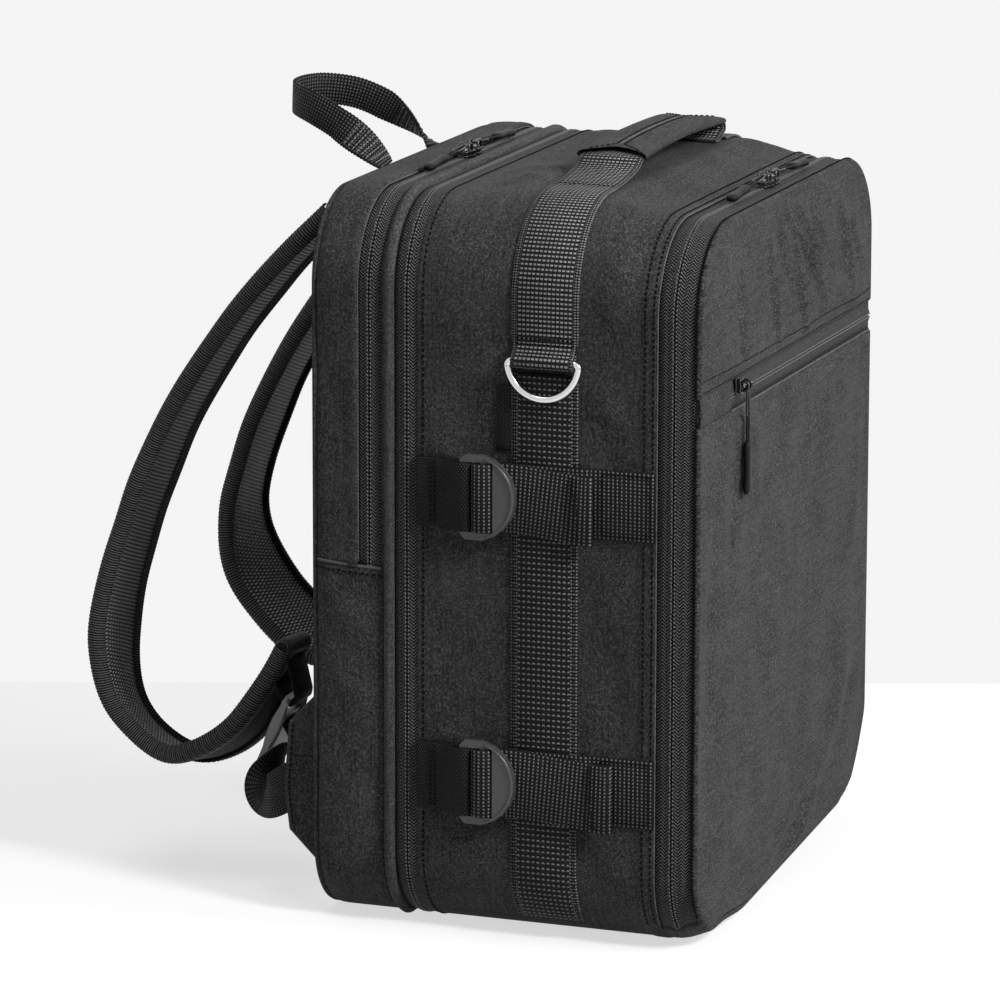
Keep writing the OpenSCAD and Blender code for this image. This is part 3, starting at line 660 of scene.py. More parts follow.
def dashed_weave(name, cell, fill, dark, light, stagger=0.0, curl=0.0, border=99.0, depth=0.35):
    """Woven or knitted band with rows of bright raised dashes. Sizes are given along and across.
    curl bends the dashes, and beyond border the rows become narrow ones."""
    s = Shader(name, specular_ior_level=0.1)
    u, v = s.weave()
    column = s.math("MULTIPLY_ADD", v, 1 / cell[1], 0.5)
    off = s.math("SUBTRACT", s.math("FRACT", column), 0.5)
    row = s.total((u, 1 / cell[0]), (s.math("FLOOR", column), stagger), (s.product(off, off), curl))
    dash = s.product(s.pulse(row, fill[0]), s.pulse(column, fill[1]))
    narrow_row = s.pulse(s.math("DIVIDE", u, cell[0] * 0.6), 0.24)
    narrow = s.product(narrow_row, s.pulse(s.math("DIVIDE", v, 1.5), 0.3))
    rim = s.spread(s.math("ABSOLUTE", v), border - 0.2, border + 0.2, 0.0, 1.0)
    dash = s.total((s.product(dash, s.math("SUBTRACT", 1.0, rim)), 1.0), (s.product(narrow, rim), 0.7))
    speck = s.random(u, v, 0.5, 0.5)
    bright = s.product(dash, s.math("MULTIPLY_ADD", speck, 0.7, 0.55))
    s.shade(s.total((bright, 1.0), (speck, 0.05)), dark, light)
    s.rough(s.math("MULTIPLY_ADD", dash, -0.15, 0.65))
    s.relief(dash, depth)
    return s.material


def moulded(name, dark, light, rough, grain=0.05, metallic=0.0, specular=0.5):
    """Moulded or cast surface with a fine grain and faint wear."""
    s = Shader(name, metallic=metallic, specular_ior_level=specular)
    fine = s.noise(2600.0, 2.0)
    wide = s.noise(90.0, 3.0)
    s.shade(s.total((fine, 0.5), (wide, 0.5)), dark, light)
    s.rough(s.total((wide, 0.16), (fine, 0.1), base=rough - 0.13))
    s.relief(fine, grain)
    return s.material


CLOTH = woven_cloth("cloth", 0.0, 0.098)
# The piping's cloth is lighter than the main cloth, a painted highlight along the round piping.
PIPING_HIGHLIGHT = woven_cloth("piping_cloth", 0.012, 0.12)
# Lighter copy of the cloth, used on folded edges and seams as a painted highlight along them.
FOLD_HIGHLIGHT = woven_cloth("folded_cloth", 0.06, 0.17)
LINING = woven_cloth("lining", 0.05, 0.13, thread=0.4, depth=0.08)
TAPE = zip_tape("zip_tape", 0.003, 0.17)
# Grey coil instead of black, as painted glints along the zip teeth.
COIL_GLINT = moulded("zip_coil_glint", 0.07, 0.15, 0.45)
WEB_DASH = dashed_weave("webbing_dashes", (2.5, 2.4), (0.2, 0.33), 0.003, 0.36, curl=0.5, border=16)
WEB_CURL = dashed_weave("webbing_curls", (3.1, 2.9), (0.13, 0.28), 0.003, 0.3, curl=1.6, border=15)
WEB_FLECK = dashed_weave("webbing_flecks", (2.5, 2.0), (0.17, 0.27), 0.003, 0.23)
WEB_FINE = dashed_weave("webbing_fine", (1.6, 1.5), (0.22, 0.28), 0.003, 0.09)
WEB_PLAIN = dashed_weave("webbing_plain", (1.5, 1.3), (0.2, 0.25), 0.003, 0.05, stagger=0.5)
WEB_DOTS = dashed_weave("webbing_dots", (1.9, 1.9), (0.22, 0.26), 0.003, 0.14)
BINDING = dashed_weave("binding", (1.5, 9.0), (0.22, 0.55), 0.003, 0.16, depth=0.5)
MESH = dashed_weave("spacer_mesh", (2.3, 3.8), (0.24, 0.38), 0.003, 0.45, stagger=0.5, curl=0.4, depth=0.6)
PLASTIC = moulded("plastic", 0.045, 0.075, 0.27, grain=0.06)
GREY_PLASTIC = moulded("grey_plastic", 0.16, 0.26, 0.36)
GUNMETAL = moulded("gunmetal", 0.03, 0.08, 0.24, grain=0.01, metallic=1.0)
CHROME = moulded("chrome", 0.6, 0.74, 0.17, grain=0.004, metallic=1.0)
RUBBER = moulded("rubber", 0.004, 0.009, 0.45, grain=0.08, specular=0.15)
THREAD = moulded("thread", 0.002, 0.006, 0.7, grain=0.1, specular=0.05)
BRIGHT_THREAD = moulded("bright_thread", 0.1, 0.2, 0.55, grain=0.1)


# Camera, floor and light

AZIMUTH, ELEVATION, ROLL = math.radians(-69.5), math.radians(12.5), math.radians(0.11)
CAMERA_AT = (-3.226, -1.147, 0.974)
FOCAL_SHARE = 6.223
SENSOR = 36
VIEW_X, VIEW_Y = -math.sin(AZIMUTH), math.cos(AZIMUTH)
FLOOR_NEAR, FLOOR_END, FLOOR_SIDE = -6, 0.431, 4
FLOOR_COLOUR, FLOOR_GLOW = 0.45, 0.63
SKY, WALL_GLOW = 0.17, 0.91
# Each lamp's place and target, its size and its power in watts
LAMPS = {
    "key": ((0.3, -2.5, 1.5), (0, 0, 0.2), 1.2, 32),
    "top": ((-0.4, 0.5, 2.4), (0, 0, 0.3), 1.2, 14),
    "side": ((-0.85, -1.9, 1.8), (0, 0, 0.2), 0.5, 52),
}


def add_camera():
    level = math.cos(ELEVATION)
    backward = Vector((-VIEW_X * level, -VIEW_Y * level, math.sin(ELEVATION)))
    right = Vector((VIEW_Y, -VIEW_X, 0))
    turn = Matrix((right, backward.cross(right), backward)).transposed() @ Matrix.Rotation(ROLL, 3, "Z")
    data = bpy.data.cameras.new("camera")
    data.sensor_width = SENSOR
    data.lens = SENSOR * FOCAL_SHARE
    data.clip_end = 50
    camera = bpy.data.objects.new("camera", data)
    camera.matrix_world = Matrix.Translation(CAMERA_AT) @ turn.to_4x4()
    scene.collection.objects.link(camera)
    scene.camera = camera


def seen_share(tree):
    """1 for what the camera sees, also in metal and glass, and 0 for what only lights the part."""
    path = tree.nodes.new("ShaderNodeLightPath")
    seen = path.outputs["Is Camera Ray"]
    for kind in ("Is Glossy Ray", "Is Transmission Ray"):
        either = tree.nodes.new("ShaderNodeMath")
        either.operation = "MAXIMUM"
        tree.links.new(seen, either.inputs[0])
        tree.links.new(path.outputs[kind], either.inputs[1])
        seen = either.outputs[0]
    return seen


def add_floor():
    """Pale studio floor, which ends where the background begins."""
    s = Shader("floor", roughness=0.9, specular_ior_level=0.1)
    s.surface.inputs["Base Color"].default_value = (FLOOR_COLOUR, FLOOR_COLOUR, FLOOR_COLOUR, 1)
    s.surface.inputs["Emission Color"].default_value = (1, 1, 1, 1)
    s.put(s.surface.inputs["Emission Strength"], s.math("MULTIPLY", seen_share(s.tree), FLOOR_GLOW))
    ahead, side = np.array([VIEW_X, VIEW_Y, 0]), np.array([-VIEW_Y, VIEW_X, 0])
    corners = [ahead * away + side * off * FLOOR_SIDE for away, off in
               ((FLOOR_NEAR, -1), (FLOOR_NEAR, 1), (FLOOR_END, 1), (FLOOR_END, -1))]
    mesh = bpy.data.meshes.new("floor")
    mesh.from_pydata(corners, [], [(0, 1, 2, 3)])
    mesh.materials.append(s.material)
    floor = bpy.data.objects.new("floor", mesh)
    scene.collection.objects.link(floor)


def add_light(name, place, target, size, watts):
    data = bpy.data.lights.new(name, "AREA")
    data.shape = "DISK"
    data.size = size
    data.energy = watts
    lamp = bpy.data.objects.new(name, data)
    lamp.location = place
    lamp.rotation_euler = (Vector(target) - Vector(place)).to_track_quat("-Z", "Y").to_euler()
    scene.collection.objects.link(lamp)


def add_lights():
    world = bpy.data.worlds.new("studio")
    scene.world = world
    world.use_nodes = True
    tree = world.node_tree
    sky = tree.nodes["Background"]
    sky.inputs["Color"].default_value = (1, 1, 1, 1)
    level = tree.nodes.new("ShaderNodeMath")
    level.operation = "MULTIPLY_ADD"
    level.inputs[1].default_value = WALL_GLOW - SKY
    level.inputs[2].default_value = SKY
    tree.links.new(seen_share(tree), level.inputs[0])
    tree.links.new(level.outputs[0], sky.inputs["Strength"])
    for name, lamp in LAMPS.items():
        add_light(name, *lamp)


# Main section

STRAP_HEIGHTS = [between(f"left_{level}_buckle", Z) for level in LEVELS]
SIDE_CREASES = [
    ((47, 277), (14, 262), 5, 2.2), ((46, 230), (22, 204), 7, 1.8), ((-46, 306), (-82, 290), 7, 2.4),
    ((46, 119), (16, 105), 5, 2.0), ((45, 68), (18, 38), 8, 2.0), ((-48, 60), (-78, 34), 8, 2.0),
    ((-52, 214), (-76, 150), 9, 1.6), ((-48, 282), (-72, 262), 7, -1.6),
]
TOP_CREASES = [
    ((-96, 32), (-58, 2), 6, 1.6), ((-70, 42), (-26, 6), 7, 1.4), ((28, -62), (62, -46), 6, 1.6),
    ((70, 12), (104, -10), 7, 1.4), ((98, -64), (126, -32), 6, 1.4),
]
# How far folds keep away from other pieces, and the length that they then grow over
STRAP_CLEAR, STRAP_FADE = 3, 16
WEB_CLEAR, WEB_FADE = 3, 14
HEM_CLEAR, HEM_FADE = 9, 14
REAR_CLEAR, REAR_FADE = 4, 12
BASE_FADE = 60
# Outward directions beyond which the outline counts as a side or as the top
UPRIGHT, STEEP = 0.5, 0.7


def shell_relief(y, s):
    """Soft unevenness and pulled folds of the main cloth, kept off the webbing and straps."""
    x, z, nx, nz = at(s)
    along = np.broadcast_to(s, y.shape)
    wave = 2.0 * ripple(along, y, seed=11, wavelength=95) + 0.5 * ripple(along, y, seed=12, wavelength=38)
    for low, high in STRAP_HEIGHTS:
        off = np.abs(z - (low + high) / 2) - (high - low) / 2 - STRAP_CLEAR
        wave = wave * np.where(np.abs(nx) > UPRIGHT, ease(off / STRAP_FADE), 1)
    wave = wave + creases(y, z, SIDE_CREASES) * (np.abs(nx) > STEEP)
    wave = wave + creases(x, y, TOP_CREASES) * (nz > STEEP)
    clear = ease((np.abs(y - WEB_Y) - WEB_W / 2 - WEB_CLEAR) / WEB_FADE)
    front = ease((y - SHELL_FRONT - HEM_CLEAR) / HEM_FADE)
    rear = ease((SHELL_BACK - y - REAR_CLEAR) / REAR_FADE)
    return wave * clear * front * rear * ease(z / BASE_FADE)


def add_shell():
    piece = Piece()
    front_hem = [(0, 0.7), (-1.3, 0.5), (-1.6, 0), (-1, -0.45), (0.5, -0.6), (3, -0.55), (6, -0.5),
                 (7.8, -0.3), (8.8, 0)]
    rear_hem = [(-2, 0), (0.6, -0.1), (1.6, 0), (2, 0.35), (1.4, 0.7)]
    outer = [(SHELL_FRONT + off, inset) for off, inset in front_hem]
    outer += [(y, 0) for y in np.arange(SHELL_FRONT + 11, SHELL_BACK - 3, CLOTH_STEP)]
    outer += [(SHELL_BACK + off, inset) for off, inset in rear_hem]
    inner = [(y, WALL) for y in np.arange(SHELL_BACK - 0.5, SHELL_FRONT, -9.5)]
    finish = [0] * (len(outer) - 1) + [1] * (len(inner) + 1)
    band(piece, ALL_ROUND, outer + inner, finish, closed=True, relief=shell_relief)
    piece.build("main_shell_cloth", "bag", "cloth", [CLOTH, LINING], ["main_shell"])
    rows = Piece()
    hem_run = over_top(STRIP_TOP + 3, 2.0)
    for y in (SHELL_FRONT + 0.6, SHELL_FRONT + 5.5):
        sewn_line(rows, hem_run, y, 0.6)
    sewn_line(rows, ALL_ROUND, SHELL_BACK - 1.5, 0.1, pitch=3.4)
    # The front hem's folded edge is lighter cloth: a painted highlight along it.
    fold_line(rows, hem_run, SHELL_FRONT - 1.5, 0.15)
    rows.build("main_shell_stitches", "bag", "cloth", [THREAD, FOLD_HIGHLIGHT])


def add_ring_zip(name, body, slit, edge, node, height, sunk):
    """Half a zip with its row of teeth, over the top down to a height or, without one, all round.
    sunk is how far its outer edge lies under the cloth."""
    closed = height is None
    s = ALL_ROUND if closed else over_top(height)
    way = math.copysign(1, edge - slit)
    face = [(0, 1.6), (0.15, 0.9), (0.7, 0.15), (1.6, -0.1), (2.6, 0.1), (3.6, 0.5), (4.4, TAPE_INSET)]
    loop = [(slit + way * off, inset) for off, inset in face]
    loop += [(edge, sunk), (edge, sunk + TAPE_T), (slit + way * 0.2, TAPE_INSET + TAPE_T)]
    piece = Piece()
    band(piece, s, loop, closed=closed)
    line = line_round(np.append(s, LENGTH) if closed else s, slit + way * TOOTH_OFF, 0.05)
    teeth(piece, np.concatenate(line, 1), pitch=2.3, length=1.4)
    piece.build(name, body, "zip_tape", [TAPE, COIL_GLINT], [node])


def add_zips():
    halves = [
        ("main_zip_body", "_side", "bag", SPLIT + SLIT, SHELL_FRONT, STRIP_TOP, TAPE_INSET),
        ("main_zip_flap", "_side", "flap", SPLIT - SLIT, PANEL_BACK, STRIP_TOP + 0.5, TAPE_INSET),
        ("expansion_zip_front", "", "bag", EXPANSION - SLIT, SHELL_BACK, None, TAPE_INSET),
        ("expansion_zip_rear", "", "rear", EXPANSION + SLIT, EXPANSION_END, None, 1.7),
        ("laptop_zip_front", "", "rear", LAPTOP_ZIP - SLIT, LAPTOP_FRONT, LAPTOP_END, 1.2),
        ("laptop_zip_rear", "", "rear", LAPTOP_ZIP + SLIT, LAPTOP_BACK, LAPTOP_END, TAPE_INSET),
    ]
    for name, ending, body, slit, edge, height, sunk in halves:
        add_ring_zip(name + ending, body, slit, edge, name + "_tape", height, sunk)


def add_hinge_strip():
    """Cloth along the front of the base, where the front panel opens."""
    piece = Piece()
    y0, y1 = PANEL_BACK - 0.8, SHELL_FRONT + 0.5
    stations = [(y0, 1.5), (y0 + 0.3, 0.4), (y0 + 1.2, 0)] + [(y, 0) for y in np.arange(y0 + 4, y1, 4)]
    stations += [(y1, 0), (y1, WALL), (y0 + 1.2, WALL), (y0 + 0.3, WALL - 0.6)]
    band(piece, under_base(STRIP_TOP), stations)
    thing = piece.build("front_hinge_cloth", None, "cloth", [CLOTH], ["front_hinge_strip"])
    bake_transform(thing)


# Upright webbing, carrying rings and their loops

RING_Z = 325
RING_WIRE = between("left_d_ring", X)[1] - between("left_d_ring", X)[0]
RING_X = -sum(between("left_d_ring", X)) / 2
RING_LOOP = RING_WIRE / 2 + 0.3 + WEB_T / 2


def add_side_webbing():
    piece, sewn = Piece(), Piece()
    s = runs(*[run_at(z) for z in between("side_webbing", Z)])
    for side in SIDES.values():
        path, up = line_round(side * s, WEB_Y, WEB_T / 2)
        strip(piece, path, (0, 1, 0), WEB_W, WEB_T)
        for edge in (-1, 1):
            offset = np.array([0, edge * (WEB_W / 2 - 1.6), 0])
            stitches(sewn, path + offset + up * WEB_T * 0.52, up, thick=0.55)
    piece.build("side_webbing_band", "bag", "webbing", [WEB_CURL], ["side_webbing"])
    sewn.build("side_webbing_stitches", "bag", "webbing", [THREAD])


def add_ring_webbing():
    piece, sewn = Piece(), Piece()
    turn = arc((RING_X, RING_Z), RING_LOOP, 80, -165, 20)
    fold = [(HALF_W + 1.0, RING_Z + 9), (HALF_W + 2.6, RING_Z + 5.6)]
    loop = np.concatenate([fold, turn, [(HALF_W + 0.85, RING_Z + 4.2)]])
    loop = points_of(loop[:, 0], WEB_Y, loop[:, 1])
    end = LENGTH / 2 - HANDLE_END
    climb = runs(end, run_at(RING_Z + 12), 3)
    reach = np.array([[0, 2 - WEB_W / 2, 0], [0, WEB_W / 2 - 2, 0]])
    for side in SIDES.values():
        path = np.concatenate([line_round(side * climb, WEB_Y, WEB_T / 2 + 0.1)[0], loop * [side, 1, 1]])
        path = resample(path, 1.6)
        strip(piece, path, (0, 1, 0), WEB_W - 2.6 * ease((RING_Z + 14 - path[:, 2]) / 10), WEB_T)
        for rise in (9, 12):
            place = np.array([side * (HALF_W + WEB_T + 0.25), WEB_Y, RING_Z + rise])
            stitches(sewn, place + reach, (side, 0, 0), pitch=2.6, length=1.9)
        for drop in (3, 8):
            path, up = line_round(side * np.array([end + drop]), WEB_Y, WEB_T + 0.2)
            stitches(sewn, path + reach, up[0], pitch=2.8, length=2.0, thick=0.9)
    piece.build("ring_webbing_band", "bag", "webbing", [WEB_DASH], ["ring_webbing"])
    sewn.build("ring_webbing_stitches", "bag", "webbing", [THREAD])


def add_rings():
    low, high = between("left_d_ring", Y)
    half = (high - low) / 2 - RING_WIRE / 2 - 1.6
    corner = 2.6
    slope = math.degrees(math.asin(corner / half))
    bow = arc((0, 0), half, 180 + slope, 360 - slope, 40)
    right = arc((half - corner - 0.15, -corner), corner, 0, 90, 8)
    path = np.concatenate([bow, right, right[::-1] * [-1, 1]])
    for name, side in SIDES.items():
        ring = points_of(side * RING_X, WEB_Y + path[:, 0], RING_Z + path[:, 1])
        piece = Piece()
        tube(piece, ring, RING_WIRE / 2, closed=True, sides=16, reference=(1, 0, 0))
        piece.build(f"{name}_ring_wire", f"{name}_ring", "chrome", [CHROME], [f"{name}_d_ring"])


def add_label():
    low, high = span("label_tab")
    t = np.linspace(0, 1, 12)
    bow = low[0] + 0.45 - 0.6 * np.sin(math.pi * t)
    path = points_of(bow, (low[1] + high[1]) / 2, low[2] + (high[2] - low[2]) * t)
    piece = Piece()
    strip(piece, path, (0, 1, 0), high[1] - low[1], high[0] - low[0])
    piece.build("bare_label", "bag", "webbing", [WEB_PLAIN], ["label_tab"])


# Compression straps. u runs forward from the buckle's fixed bar, w outward from the bag's side.

BAR_Y = 20
BAR_OUT = 7.4
BAR_PITCH = 12
EYE = 3.62
STEP_U = BAR_Y - WEB_FRONT + 4
ROOT_U = BAR_Y - SHELL_FRONT + 1
ANCHOR_U = BAR_Y - SHELL_BACK - 1
FLAT = WEB_T / 2
UNDER = WEB_T + 0.2 + FLAT
TAIL = UNDER + WEB_T + 0.2
TAIL_U = {"upper": 72, "lower": 83}
TAIL_SAG, SAG_U = 3.5, 24
ROLL_U, ROLL_HALF, ROLL_FLAT = 10.6, 5.3, 0.77


def on_side(side, z, section):
    """Section points (u, w) laid on one side of the bag at a height, or at one height each."""
    u, w = np.asarray(section, float).T
    return points_of(side * (HALF_W + w), BAR_Y - u, z)


def side_row(piece, side, z, start, end, w, finish=0):
    """Stitches on one side of the bag between two places, each a u and a rise from the height."""
    row = on_side(side, [z + start[1], z + end[1]], [(start[0], w), (end[0], w)])
    stitches(piece, row, (side, 0, 0), pitch=2.7, length=1.9, thick=0.7, finish=finish)


def strap_route(tail_u):
    """The webbing from its sewn root under the buckle, round the bar and back as a loose tail."""
    under = [(ROOT_U, FLAT), (STEP_U + 16, FLAT), (STEP_U + 4.5, FLAT + 0.05), (STEP_U - 1, UNDER),
             (STEP_U - 12, UNDER), (BAR_PITCH + 14, UNDER), (BAR_PITCH + 2, UNDER)]
    roll = arc((ROLL_U, BAR_OUT), ROLL_HALF, 225, -45, 26, ROLL_FLAT)
    tail = [(16.8, 4.7), (20, TAIL), (30, TAIL), (44, TAIL + 0.3), (tail_u - 9, TAIL + 0.2),
            (tail_u - 1, TAIL + 0.4), (tail_u + 0.4, TAIL + 1.4), (tail_u - 1.5, TAIL + 2.3),
            (tail_u - 11, TAIL + 2)]
    tail = smooth(tail, 6)
    route = np.concatenate([smooth(under, 6), roll, tail])
    sag = np.zeros(len(route))
    sag[-len(tail):] = TAIL_SAG * ease((tail[:, 0] - SAG_U) / (tail_u - SAG_U))
    return route, sag


def add_straps():
    anchors, anchor_rows = Piece(), Piece()
    loop = np.concatenate([smooth([(ANCHOR_U, FLAT), (-14, FLAT + 0.2), (-7, 1.6), (-3, 3.3)], 5),
                           arc((0, BAR_OUT), EYE, -95, 150, 22),
                           smooth([(-5.5, 8.0), (-12, 4.6), (-19, 2.9), (ANCHOR_U, 2.5)], 5)])
    edge = WEB_W / 2 - 2
    for side_name, side in SIDES.items():
        for level in LEVELS:
            z = sum(between(f"{side_name}_{level}_buckle", Z)) / 2
            tail_u = TAIL_U[level]
            route, sag = strap_route(tail_u)
            piece = Piece()
            strip(piece, resample(on_side(side, z - sag, route), 1.0), (0, 0, 1), WEB_W, WEB_T)
            for u in (tail_u - 9.5, tail_u - 7.5):
                side_row(piece, side, z - TAIL_SAG, (u, -edge), (u, edge), TAIL + 2.2 + FLAT, finish=1)
            root = [(STEP_U + 10, -edge), (ROOT_U - 3, -edge), (ROOT_U - 3, edge), (STEP_U + 10, edge)]
            for start, end in zip(root, root[1:] + root[:1]):
                side_row(piece, side, z, start, end, WEB_T + 0.15, finish=1)
            name = f"{side_name}_{level}_strap"
            thing = piece.build(name + "_webbing", None, "webbing", [WEB_FLECK, THREAD], [name])
            ends = on_side(side, z, [(50, 3), (15, 3)]) * MM
            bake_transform(thing)
            strip(anchors, resample(on_side(side, z, loop), 1.4), (0, 0, 1), WEB_W, WEB_T)
            for u in (-21, -18.5):
                side_row(anchor_rows, side, z, (u, -edge), (u, edge), 4.0)
    anchors.build("strap_anchor_webbing", "bag", "webbing", [WEB_PLAIN], ["strap_anchors"])
    anchor_rows.build("strap_anchor_stitches", "bag", "webbing", [THREAD])


EDGE_ROUND, EDGE_ANGLE = 0.9, math.radians(35)


def soften(thing, finish):
    """A moulded CAD solid keeps its shape, with rounded edges and its own finish."""
    thing.data.materials.clear()
    thing.data.materials.append(finish)
    bevel = thing.modifiers.new("soften", "BEVEL")
    bevel.width = EDGE_ROUND * MM
    bevel.segments = 3
    bevel.limit_method = "ANGLE"
    bevel.angle_limit = EDGE_ANGLE


LIP_IN, LIP_OUT, LIP_RADIUS = 1.3, 1.9, 1.25


def add_buckle_lip(side_name, level):
    """Raised lip along the front of a side buckle's half-moon plate."""
    low, high = span(f"{side_name}_{level}_buckle")
    half = (high[2] - low[2]) / 2
    radius = half + 0.5
    turn = math.degrees(math.asin(half / radius)) - 6
    line = arc((BAR_Y - low[1] - radius, 0), radius - LIP_IN, -turn, turn, 40)
    side = SIDES[side_name]
    section = [(u, BAR_OUT + LIP_OUT) for u in line[:, 0]]
    path = on_side(side, (low[2] + high[2]) / 2 + line[:, 1], section)
    fade = np.sin(np.linspace(0.15, math.pi - 0.15, len(path))) ** 0.5
    piece = Piece()
    tube(piece, path, LIP_RADIUS * fade, sides=10, reference=(1, 0, 0))
    piece.build(f"{side_name}_{level}_buckle_lip", f"{side_name}_{level}_lock", "plastic", [PLASTIC])


def add_buckles():
    for side_name in SIDES:
        for level in LEVELS:
            soften(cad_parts[f"{side_name}_{level}_buckle"], PLASTIC)
            add_buckle_lip(side_name, level)
        soften(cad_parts[f"{side_name}_strap_buckle"], GREY_PLASTIC)


# Padded pieces get their swelling from a short cloth simulation

SWELL_FRAMES = 16
SWELL_CLOTH = {
    "quality": 5, "mass": 0.3, "tension_stiffness": 25, "compression_stiffness": 25, "shear_stiffness": 8,
    "bending_stiffness": 0.6, "vertex_group_mass": "held", "use_pressure": True,
}


def inflate(thing, pinned, pressure, reach):
    """Lets a closed cloth mesh swell, holding the pinned points, and keeps the result. No point
    moves further than reach."""
    mesh = thing.data
    rest = np.empty(len(mesh.vertices) * 3)
    mesh.vertices.foreach_get("co", rest)
    rest = rest.reshape(-1, 3)
    group = thing.vertex_groups.new(name="held")
    group.add([int(i) for i in np.flatnonzero(pinned)], 1.0, "REPLACE")
    cloth = thing.modifiers.new("swell", "CLOTH")
    for key, value in SWELL_CLOTH.items():
        setattr(cloth.settings, key, value)
    cloth.settings.uniform_pressure_force = pressure
    cloth.settings.effector_weights.gravity = 0
    cloth.collision_settings.use_collision = False
    cloth.point_cache.frame_start = 1
    cloth.point_cache.frame_end = SWELL_FRAMES
    for k in range(1, SWELL_FRAMES + 1):
        scene.frame_set(k)
    swollen = thing.evaluated_get(bpy.context.evaluated_depsgraph_get())
    moved = np.empty(len(mesh.vertices) * 3)
    swollen.to_mesh().vertices.foreach_get("co", moved)
    swollen.to_mesh_clear()
    thing.modifiers.remove(cloth)
    thing.vertex_groups.remove(group)
    shift = moved.reshape(-1, 3) - rest
    far = np.linalg.norm(shift, axis=1, keepdims=True)
    shift *= np.minimum(1, reach * MM / np.maximum(far, 1e-9))
    mesh.vertices.foreach_set("co", (rest + shift).ravel())
    mesh.update()
    scene.frame_set(1)


def drop_on(thing, path):
    """A path let down onto a mesh from above."""
    mesh = thing.data
    tree = BVHTree.FromPolygons([v.co for v in mesh.vertices], [p.vertices for p in mesh.polygons])
    path = np.array(path, float)
    for point in path:
        hit = tree.ray_cast(Vector((point[0] * MM, point[1] * MM, 1)), Vector((0, 0, -1)))[0]
        if hit:
            point[2] = hit.z / MM
    return path


# Carrying handle

SLEEVE_LOW, SLEEVE_HIGH = span("handle_sleeve")
SLEEVE_X = (SLEEVE_LOW[0] + SLEEVE_HIGH[0]) / 2
SLEEVE_HALF = (SLEEVE_HIGH[0] - SLEEVE_LOW[0]) / 2
SLEEVE_WIDE = (SLEEVE_HIGH[1] - SLEEVE_LOW[1]) / 2
SLEEVE_T = 4
SLEEVE_NOTCH = 11
SLEEVE_TURN = 14
SLEEVE_ROW = 2.4


def sleeve_line(x):
    """Height of the handle sleeve's middle line."""
    rise = SLEEVE_HIGH[2] - SLEEVE_LOW[2] - 2 * SLEEVE_T
    return SLEEVE_LOW[2] + SLEEVE_T + rise * (1 - ((x - SLEEVE_X) / SLEEVE_HALF) ** 2)


def add_handle():
    """Padded sleeve with notched ends that are turned in, and its stitch rows."""
    t = np.linspace(-1, 1, 48)[:, None]
    ring = np.linspace(0, 2 * math.pi, 40, endpoint=False)
    across, up = bulged(ring, 0.55, 0.7)
    x = SLEEVE_X + t * (SLEEVE_HALF - SLEEVE_NOTCH * (1 - np.abs(across)) * np.abs(t) ** 8)
    y = WEB_Y + across * (SLEEVE_WIDE - 1.2 * (1 - t ** 2))
    z = sleeve_line(x) + up * (SLEEVE_T - 0.6) * (1 - 0.2 * np.abs(t) ** 8)
    points = points_of(x, y, z)
    turned = points[[0, -1]]
    turned[..., 0] += [[SLEEVE_TURN], [-SLEEVE_TURN]]
    turned[..., 1] = turned[..., 1] * 0.9 + WEB_Y * 0.1
    turned[..., 2] = sleeve_line(turned[..., 0]) + 1.2 * up
    points = np.concatenate([turned[:1], points, turned[1:]])
    piece = Piece()
    v = np.append(ring, 2 * math.pi) * SLEEVE_WIDE / 2
    piece.rod(points, points[..., 0].mean(1)[:, None], v[None, :])
    thing = piece.build("handle_sleeve_cloth", "handle", "cloth", [CLOTH], ["handle_sleeve"])
    held = np.zeros(points.shape[:2], bool)
    held[:3] = held[-3:] = True
    held[:, np.abs(across) > 0.98] = True
    inflate(thing, held.ravel(), pressure=2.5, reach=1.4)
    rows = Piece()
    inner, outer = SLEEVE_HALF - SLEEVE_NOTCH - 4, SLEEVE_HALF - 4
    line = points_of(SLEEVE_X + np.linspace(-inner, inner, 60), WEB_Y, 0)
    # A thin seam along the sleeve's middle, in the lighter cloth that paints its highlight.
    tube(rows, drop_on(thing, line), 0.55, finish=1, sides=6, reference=(0, 1, 0))
    for edge in (-1, 1):
        stitches(rows, drop_on(thing, line + [0, edge * SLEEVE_ROW, 0]), (0, 0, 1))
        for end in (-1, 1):
            branch = points_of(SLEEVE_X + end * np.linspace(inner, outer, 12),
                               WEB_Y + edge * np.linspace(SLEEVE_ROW, SLEEVE_WIDE - 5, 12), 0)
            stitches(rows, drop_on(thing, branch), (0, 0, 1))
    rows.build("handle_sleeve_stitches", "handle", "cloth", [THREAD, FOLD_HIGHLIGHT])


def add_handle_webbing():
    """The left end ramps up into the sleeve, and the right end is folded back under it."""
    def foot(x, lift):
        return x, settle([[x, WEB_Y, HEIGHT]])[0, 2] + FLAT + lift
    left, right = SLEEVE_LOW[0], SLEEVE_HIGH[0]
    level = sleeve_line(left)
    bulge = 3.5
    routes = [
        [foot(-HANDLE_END, 0.2), foot(9 - HANDLE_END, 0.5), foot(left - 14, 3), (left - 5, level - 4.5),
         (left + 1, level - 1), (left + 14, level)],
        [foot(right - 13, 0.2), foot(right - 6, 0.5), foot(right + 0.5, bulge), (right + bulge, level - 6),
         (right + bulge, level - 3), (right, level - 0.5), (right - 14, level)],
    ]
    piece = Piece()
    for route in routes:
        path = smooth([(x, WEB_Y, z) for x, z in route], 6)
        strip(piece, resample(path, 1.2), (0, 1, 0), WEB_W - 1, WEB_T)
    thing = piece.build("handle_webbing_band", None, "webbing", [WEB_DASH], ["handle_webbing"])
    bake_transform(thing)


# Front panel

